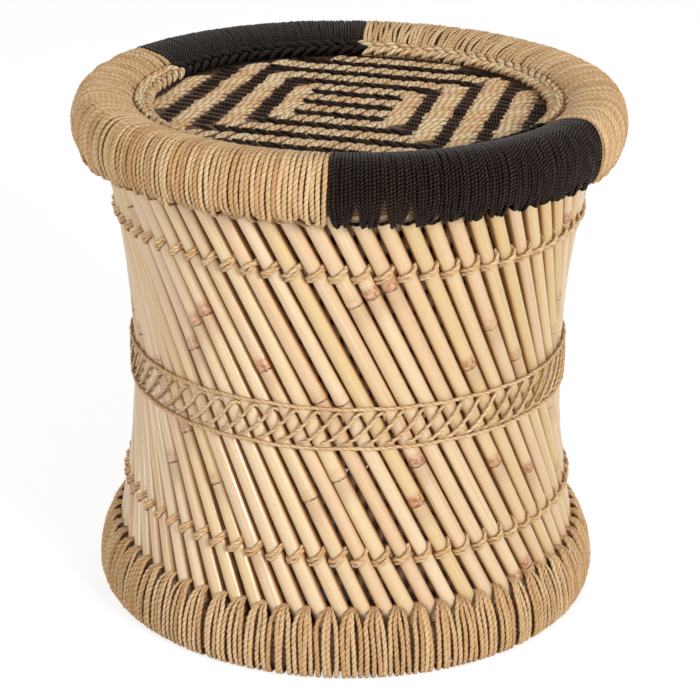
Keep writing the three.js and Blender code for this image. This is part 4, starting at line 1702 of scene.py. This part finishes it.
@dataclass
class Seat:
    """The twined seat: slanting stitches in square rings of alternate colours."""

    top: float = 366 * MM
    row_bearing: float = ROW_BEARING
    column_bearing: float = math.radians(77.5)
    stripe: float = 14.15 * MM
    stitch_pitch: float = 9.3 * MM
    centre_bars: float = 34 * MM
    first_ring: float = 42 * MM
    rings: int = 8
    radius: float = 141 * MM
    back: float = 5.1 * MM
    yarns_apart: float = 0.32
    mat_heights: tuple[float, float] = (355.2 * MM, 363.6 * MM)
    seed: int = 51

    @staticmethod
    def habit(side: int, dye: int) -> tuple[float, float]:
        """Returns the bearing and overreach of stitches in rows (0) and left (-1) or right (1) columns.

        Args:
            side: 0 for a row, -1 or 1 for a left or right column.
            dye: 0 natural, 1 black.

        Returns:
            The bearing in radians and the overreach in metres.
        """
        degrees, over = {
            (0, 0): (54, 3.8), (0, 1): (-59, 4.4), (-1, 0): (27, 4.4), (-1, 1): (-31, 3.0),
            (1, 0): (24, 6.2), (1, 1): (-36, 0.6),
        }[side, dye]
        return math.radians(degrees), over * MM

    def centres(self) -> tuple[Array, ...]:
        """Works out where the stitches lie.

        A ring of half side d has stitches along the lines row = +-d and column = +-d. The middle
        block has plain bars along the rows.

        Returns:
            (N, 2) row and column places, (N,) bearings of the stripes, (N,) bearings of the
            stitches, (N,) their overreach, (N,) dye, 0 natural, 1 black.
        """
        places, bearings, facings, overs, dyes = [], [], [], [], []

        def lay(place: Array, side: int, dye: int) -> None:
            """Adds one stripe of stitches.

            Args:
                place: (N, 2) row and column places.
                side: 0 for a row, -1 or 1 for a left or right column.
                dye: 0 natural, 1 black.
            """
            places.append(place)
            bearings.append(np.full(len(place), self.column_bearing if side else self.row_bearing))
            facing, over = self.habit(side, dye)
            facings.append(np.full(len(place), facing))
            overs.append(np.full(len(place), over))
            dyes.append(np.full(len(place), float(dye)))

        for k in range(-2, 3):
            count = round(2 * self.centre_bars / self.stitch_pitch)
            t = (np.arange(count) + 0.5) * 2 * self.centre_bars / count - self.centre_bars
            lay(np.stack([t, np.full(count, k * self.stripe)], axis=1), 0, int(k % 2 == 0))
        for k in range(self.rings):
            half = self.first_ring + k * self.stripe
            count = round(2 * half / self.stitch_pitch)
            t = (np.arange(count) + 0.5) * 2 * half / count - half
            for side in (-1, 1):
                level = np.full(count, side * half)
                lay(np.stack([t, level], axis=1), 0, k % 2)
                lay(np.stack([level, t], axis=1), side, k % 2)
        return tuple(np.concatenate(part) for part in (places, bearings, facings, overs, dyes))

    def drawn(self, places: Array) -> Array:
        """Lays row and column places on the seat, a little out of square as hand work is.

        With u and v in millimetres, u shrinks by 4.5 % on the right and grows by 2.2e-6 u^3 on
        the left, where the columns also lean by 0.079 of their depth.

        Args:
            places: (N, 2) row and column places.

        Returns:
            (N, 2) places on the seat.
        """
        row = np.array([math.cos(self.row_bearing), math.sin(self.row_bearing)])
        column = np.array([math.cos(self.column_bearing), math.sin(self.column_bearing)])
        u, v = places[:, :1] / MM, places[:, 1:] / MM
        eased = u - 0.045 * np.maximum(u, 0) + 2.2e-6 * np.minimum(u, 0) ** 3
        lean = 0.079 * smooth((-u - 56) / 40) * (v + 5)
        return (eased * row + v * column + lean * np.array([1.0, 0.0])) * MM + np.array([0.0, self.back])

    def stitches(self) -> Shape:
        """Builds the stitches, which arch up and dip at both ends.

        A stitch is as long as it takes to cross its stripe and a little more. Rows have pairs of
        round yarns that close together at their ends, and columns have single flat cords. With s
        from -1 to 1 along it, the width falls by 0.8 |s|^3.2 and the height by dip |s|^2.2.

        Returns:
            The stitches.
        """
        rng = np.random.default_rng(self.seed)
        parts = list(self.centres())
        middle = self.drawn(parts[0])
        keep = np.hypot(middle[:, 0], middle[:, 1]) < self.radius
        upright = np.abs(parts[1][keep]) > 1
        yarns = np.where(upright, 1, 2)
        middle, bearing, facing, over, dye, upright = (
            np.repeat(part, yarns, axis=0) for part in (middle[keep], *(p[keep] for p in parts[1:]), upright)
        )
        count = len(middle)
        # The two yarns of a pair lie half a spacing to either side of the stitch's middle.
        first = np.concatenate([[True], np.any(np.diff(middle, axis=0) != 0, axis=1)])
        side = np.where(upright, 0.0, np.where(first, -0.5, 0.5))
        stitch = np.cumsum(first) - 1
        apart = self.yarns_apart * self.stitch_pitch * side * rng.uniform(0.85, 1.1, count)
        middle = middle + apart[:, None] * np.stack([np.cos(bearing), np.sin(bearing)], axis=1)
        # Each stitch leans a little its own way, bends to one side and closes on its twin.
        crossing = np.sin(bearing - facing)
        facing = facing + rng.normal(0, 0.06, stitch[-1] + 1)[stitch]
        share = np.linspace(-1, 1, 9)[None]
        length = ((self.stripe / np.abs(crossing) + over) * (1 + rng.normal(0, 0.05, count)))[:, None]
        run = 0.5 * length * np.sin(share * math.pi / 2 * 0.97)
        bend = rng.normal(0, 0.3, (count, 1)) * MM * (1 - share**2)
        bend = bend - 0.7 * (apart * crossing)[:, None] * share**2
        x = middle[:, :1] + run * np.cos(facing)[:, None] - bend * np.sin(facing)[:, None]
        y = middle[:, 1:] + run * np.sin(facing)[:, None] + bend * np.cos(facing)[:, None]
        # It is thickest at its middle, and lies deepest at its ends.
        width, tall, dip, black_drop, black_dip = np.where(
            upright, np.array(astuple(COLUMN_YARN))[:, None], np.array(astuple(ROW_YARN))[:, None],
        )
        full = width * self.stitch_pitch * np.abs(crossing)
        half = full[:, None] * (1 - 0.8 * np.abs(share) ** 3.2) * rng.uniform(0.92, 1.08, (count, 1))
        tall = tall[:, None]
        drop = rng.uniform(0, 0.6, stitch[-1] + 1)[stitch] + rng.uniform(0, 0.3, count)
        drop = (drop + black_drop * dye)[:, None] * MM
        dip = (dip + black_dip * dye)[:, None] * MM * np.abs(share) ** 2.2
        path = np.stack([x, y, self.top - drop - dip - tall * half], axis=-1)
        round_yarn = ellipse(8)
        section = round_yarn * np.stack([tall, np.ones_like(tall)], axis=-1)[:, :, None]
        outward = np.broadcast_to(np.array([0.0, 0.0, 1.0]), path.shape)
        return sweep(
            path, outward, section * half[..., None, None], tone=toned(rng, 0.5, 0.24, count),
            dye=dye[:, None], proud=round_yarn[None, None, :, 0],
        )

    def mat(self) -> Shape:
        """Turns the mat that carries the stitches; its dark colour is painted shade between them.

        Returns:
            The mat.
        """
        low, high = self.mat_heights
        inner = np.linspace(0, 0.146, 8)
        bottom = np.stack([inner, np.full(8, low)], axis=1)
        top = np.stack([inner[::-1], np.full(8, high)], axis=1)
        return turned(np.concatenate([bottom, [[0.1508, low + 0.0008], [0.1522, high - 0.0006]], top]), 136)

    def build(self, groups: Groups, twine: bpy.types.Material) -> None:
        """Builds the stitches and the mat."""
        self.stitches().piece("seat_stitches", twine, "seat_cord", ["seat_weave"])
        self.mat().piece("seat_mat", MatFinish().material(groups), "seat_cord", ["seat_weave"])


@dataclass
class SeatBorder:
    """The border: a plait in the rim's colours that leans on the rim's inner slope."""

    radius: float = 147.2 * MM
    height: float = 372.0 * MM
    slope: float = math.radians(30)
    lump_pitch: float = 9.5 * MM
    lump_length: float = 16.5 * MM
    lump_width: float = 4.9 * MM
    lean: float = math.radians(27)
    rows_apart: float = 6.0 * MM
    sink: float = 2.4 * MM
    seed: int = 61

    def plait(self, arc: Arc) -> Shape:
        """Lays one stretch: two rows of lumps that slant to meet in a seam, like arrow heads.

        A lump's middle runs along the ring by run cos(lean) and up the slope by run sin(lean),
        and it sinks by the square of the share of its half length.

        Args:
            arc: The stretch of the rim that it runs beside.

        Returns:
            The lumps of both rows.
        """
        rng = np.random.default_rng(self.seed + arc.first)
        start = float(OUTER.azimuth(arc.first + 0.5, RIM_NECK)) - 0.5 * OUTER.pitch
        end = start + arc.gaps * OUTER.pitch
        count = round((end - start) * self.radius / self.lump_pitch)
        share = np.linspace(-1, 1, 9)[None]
        shapes = []
        for slant in (-1, 1):
            azimuth = start + (np.arange(count)[:, None] + 0.5 + 0.25 * slant) * (end - start) / count
            run = 0.5 * self.lump_length * share * (1 + rng.normal(0, 0.04, (count, 1)))
            lean = self.lean + rng.normal(0, 0.07, (count, 1))
            up = slant * (0.5 * self.rows_apart + run * np.sin(lean))
            sink = self.sink * share**2 + rng.uniform(0, 0.5, (count, 1)) * MM
            reach = self.radius + up * math.cos(self.slope) + sink * math.sin(self.slope)
            height = self.height + up * math.sin(self.slope) - sink * math.cos(self.slope)
            place = azimuth + run * np.cos(lean) / self.radius
            path = polar(reach, place, height)
            half = 0.5 * self.lump_width * (1 - 0.72 * np.abs(share) ** 3)
            half = half * rng.uniform(0.93, 1.06, (count, 1))
            outward = polar(-math.sin(self.slope), place, math.cos(self.slope))
            shapes.append(sweep(
                path, outward, ellipse(8, 0.9) * half[..., None, None], tone=toned(rng, 0.5, 0.22, count),
                dye=np.full((count, 1), float(arc.dye is Dye.BLACK)), proud=ellipse(8)[None, None, :, 0],
            ))
        return join(shapes)

    def build(self, twine: bpy.types.Material) -> None:
        """Builds the four stretches.

        Args:
            twine: The material of the plait.
        """
        for arc in rim_arcs():
            name, node = f"border_plait_{arc.name}", f"seat_border_{arc.name}"
            self.plait(arc).piece(name, twine, arc.dye.value, [node])


# Studio

@dataclass
class Studio:
    """Camera, lamps, world and floor."""

    distance: float = 1.60871
    elevation: float = math.radians(21.42534)
    roll: float = math.radians(0.5119)
    aim: float = 0.2
    lens: float = 110.565
    shift: tuple[float, float] = (0.003126, -0.043998)
    world_level: float = 0.34
    floor_size: float = 14.0
    floor_colour: Colour = (0.72, 0.72, 0.71)
    shown_colour: Colour = (0.36, 0.36, 0.36)

    def camera(self) -> None:
        """Sets the camera at the photograph's height and distance, with its slight roll."""
        data = bpy.data.cameras.new("camera")
        data.lens = self.lens
        data.sensor_width = 36.0
        data.shift_x, data.shift_y = self.shift
        data.clip_start, data.clip_end = 0.05, 60.0
        camera = bpy.data.objects.new("camera", data)
        forward = Vector((0, math.cos(self.elevation), -math.sin(self.elevation)))
        level = Vector((1, 0, 0))
        upward = level.cross(forward)
        right = math.cos(self.roll) * level + math.sin(self.roll) * upward
        head = -math.sin(self.roll) * level + math.cos(self.roll) * upward
        turn = Matrix((right, head, -forward)).transposed().to_4x4()
        place = Vector((0, 0, self.aim)) - self.distance * forward
        camera.matrix_world = Matrix.Translation(place) @ turn
        bpy.context.scene.collection.objects.link(camera)
        bpy.context.scene.camera = camera

    def lamp(self, name: str, place: Colour, size: float, power: float, tint: Colour) -> None:
        """Adds a round area lamp that faces the stool.

        Args:
            name: Its name.
            place: Where it hangs.
            size: Its width across.
            power: Its power in watts.
            tint: Its colour.
        """
        data = bpy.data.lights.new(name, "AREA")
        data.shape = "DISK"
        data.size = size
        data.energy = power
        data.color = tint
        lamp = bpy.data.objects.new(name, data)
        lamp.location = place
        lamp.rotation_euler = (Vector((0, 0, self.aim)) - Vector(place)).to_track_quat("-Z", "Y").to_euler()
        bpy.context.scene.collection.objects.link(lamp)

    @staticmethod
    def shown(graph: Graph) -> Signal:
        """Returns 1 for the rays that reach the camera straight, off a gloss or through glass, else 0.

        Args:
            graph: The nodes of the floor or the world.

        Returns:
            1 or 0.
        """
        rays = graph.signals(graph.node("LightPath"))
        direct = graph.math("MAXIMUM", rays["Is Camera Ray"], rays["Is Glossy Ray"])
        return graph.math("MAXIMUM", direct, rays["Is Transmission Ray"])

    def floor(self) -> None:
        """Lays a pale floor that shows as white round the stool and keeps the shade beside it; under the
        stool its glow fades as painted shade.
        """
        half = self.floor_size / 2
        mesh = bpy.data.meshes.new("floor")
        corners = [(-half, -half, 0), (half, -half, 0), (half, half, 0), (-half, half, 0)]
        mesh.from_pydata(corners, [], [(0, 1, 2, 3)])
        floor = bpy.data.objects.new("floor", mesh)
        bpy.context.scene.collection.objects.link(floor)
        material = bpy.data.materials.new("pale_floor")
        material.use_nodes = True
        material.node_tree.nodes.clear()
        graph = Graph(material.node_tree)
        measured = graph.node("VectorMath", operation="LENGTH")
        graph.feed(measured.inputs[0], graph.place())
        away = graph.signals(measured)["Value"]
        matt = graph.shader("BsdfDiffuse", Color=self.floor_colour)
        # The glow falls from 0.79 to 0.02 between 0.19 m and 0.13 m from the axis: painted shade on the floor
        # under the stool.
        glow = graph.shader("Emission", Color=WHITE, Strength=graph.span(away, 0.13, 0.19, 0.02, 0.79))
        pale = graph.call("AddShader", graph.shader("BsdfDiffuse", Color=self.shown_colour), glow)
        surface = graph.call("MixShader", self.shown(graph), matt, pale)
        graph.feed(graph.node("OutputMaterial").inputs["Surface"], surface)
        mesh.materials.append(material)

    def world(self) -> None:
        """Lights the scene with an even pale world that shows white to the camera."""
        world = bpy.data.worlds.new("studio")
        bpy.context.scene.world = world
        world.use_nodes = True
        world.node_tree.nodes.clear()
        graph = Graph(world.node_tree)
        soft, white = (
            graph.shader("Background", Color=WHITE, Strength=level) for level in (self.world_level, 1.0)
        )
        surface = graph.call("MixShader", self.shown(graph), soft, white)
        graph.feed(graph.node("OutputWorld").inputs["Surface"], surface)

    def build(self) -> None:
        """Sets up everything around the stool."""
        self.camera()
        self.lamp("key", (1.42, -1.9, 1.1), size=0.8, power=37.6, tint=(1.0, 0.99, 0.97))
        self.lamp("fill", (-1.5, -1.8, 1.1), size=1.0, power=19.4, tint=(1.0, 0.99, 0.98))
        self.lamp("back", (0.4, 1.8, 2.0), size=1.4, power=9.0, tint=WHITE)
        self.floor()
        self.world()
        bpy.context.scene.view_settings.view_transform = "Standard"


def main() -> None:
    """Loads the frame and builds each sub-assembly in order; each piece logs its count of faces."""
    logging.basicConfig(level=logging.INFO, format="%(name)s %(message)s")
    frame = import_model()
    groups = Groups()
    finishes = {Dye.NATURAL: NATURAL.material(groups), Dye.BLACK: BLACK.material(groups)}
    tie = TIE.material(groups)
    twine = TwineFinish("seat_twine", SEAT_NATURAL, SEAT_BLACK).material(groups)
    plait = TwineFinish("border_twine", SEAT_NATURAL, BORDER_BLACK).material(groups)
    Studio().build()
    ReedWall().build(groups)
    Rim().build(finishes)
    BaseRing().build(finishes)
    Lashing("upper_ties", "upper_lashing", 297 * MM).build(tie)
    Lashing("lower_ties", "lower_lashing", 86 * MM, seed=37).build(tie)
    WaistBand().build(tie)
    Seat().build(groups, twine)
    SeatBorder().build(plait)
    hoop = HoopFinish().material(groups)
    for name in ("rim_core", "base_core"):
        for slot in frame["nodes"][name].material_slots:
            slot.material = hoop
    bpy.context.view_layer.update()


if __name__ == "__main__":
    main()
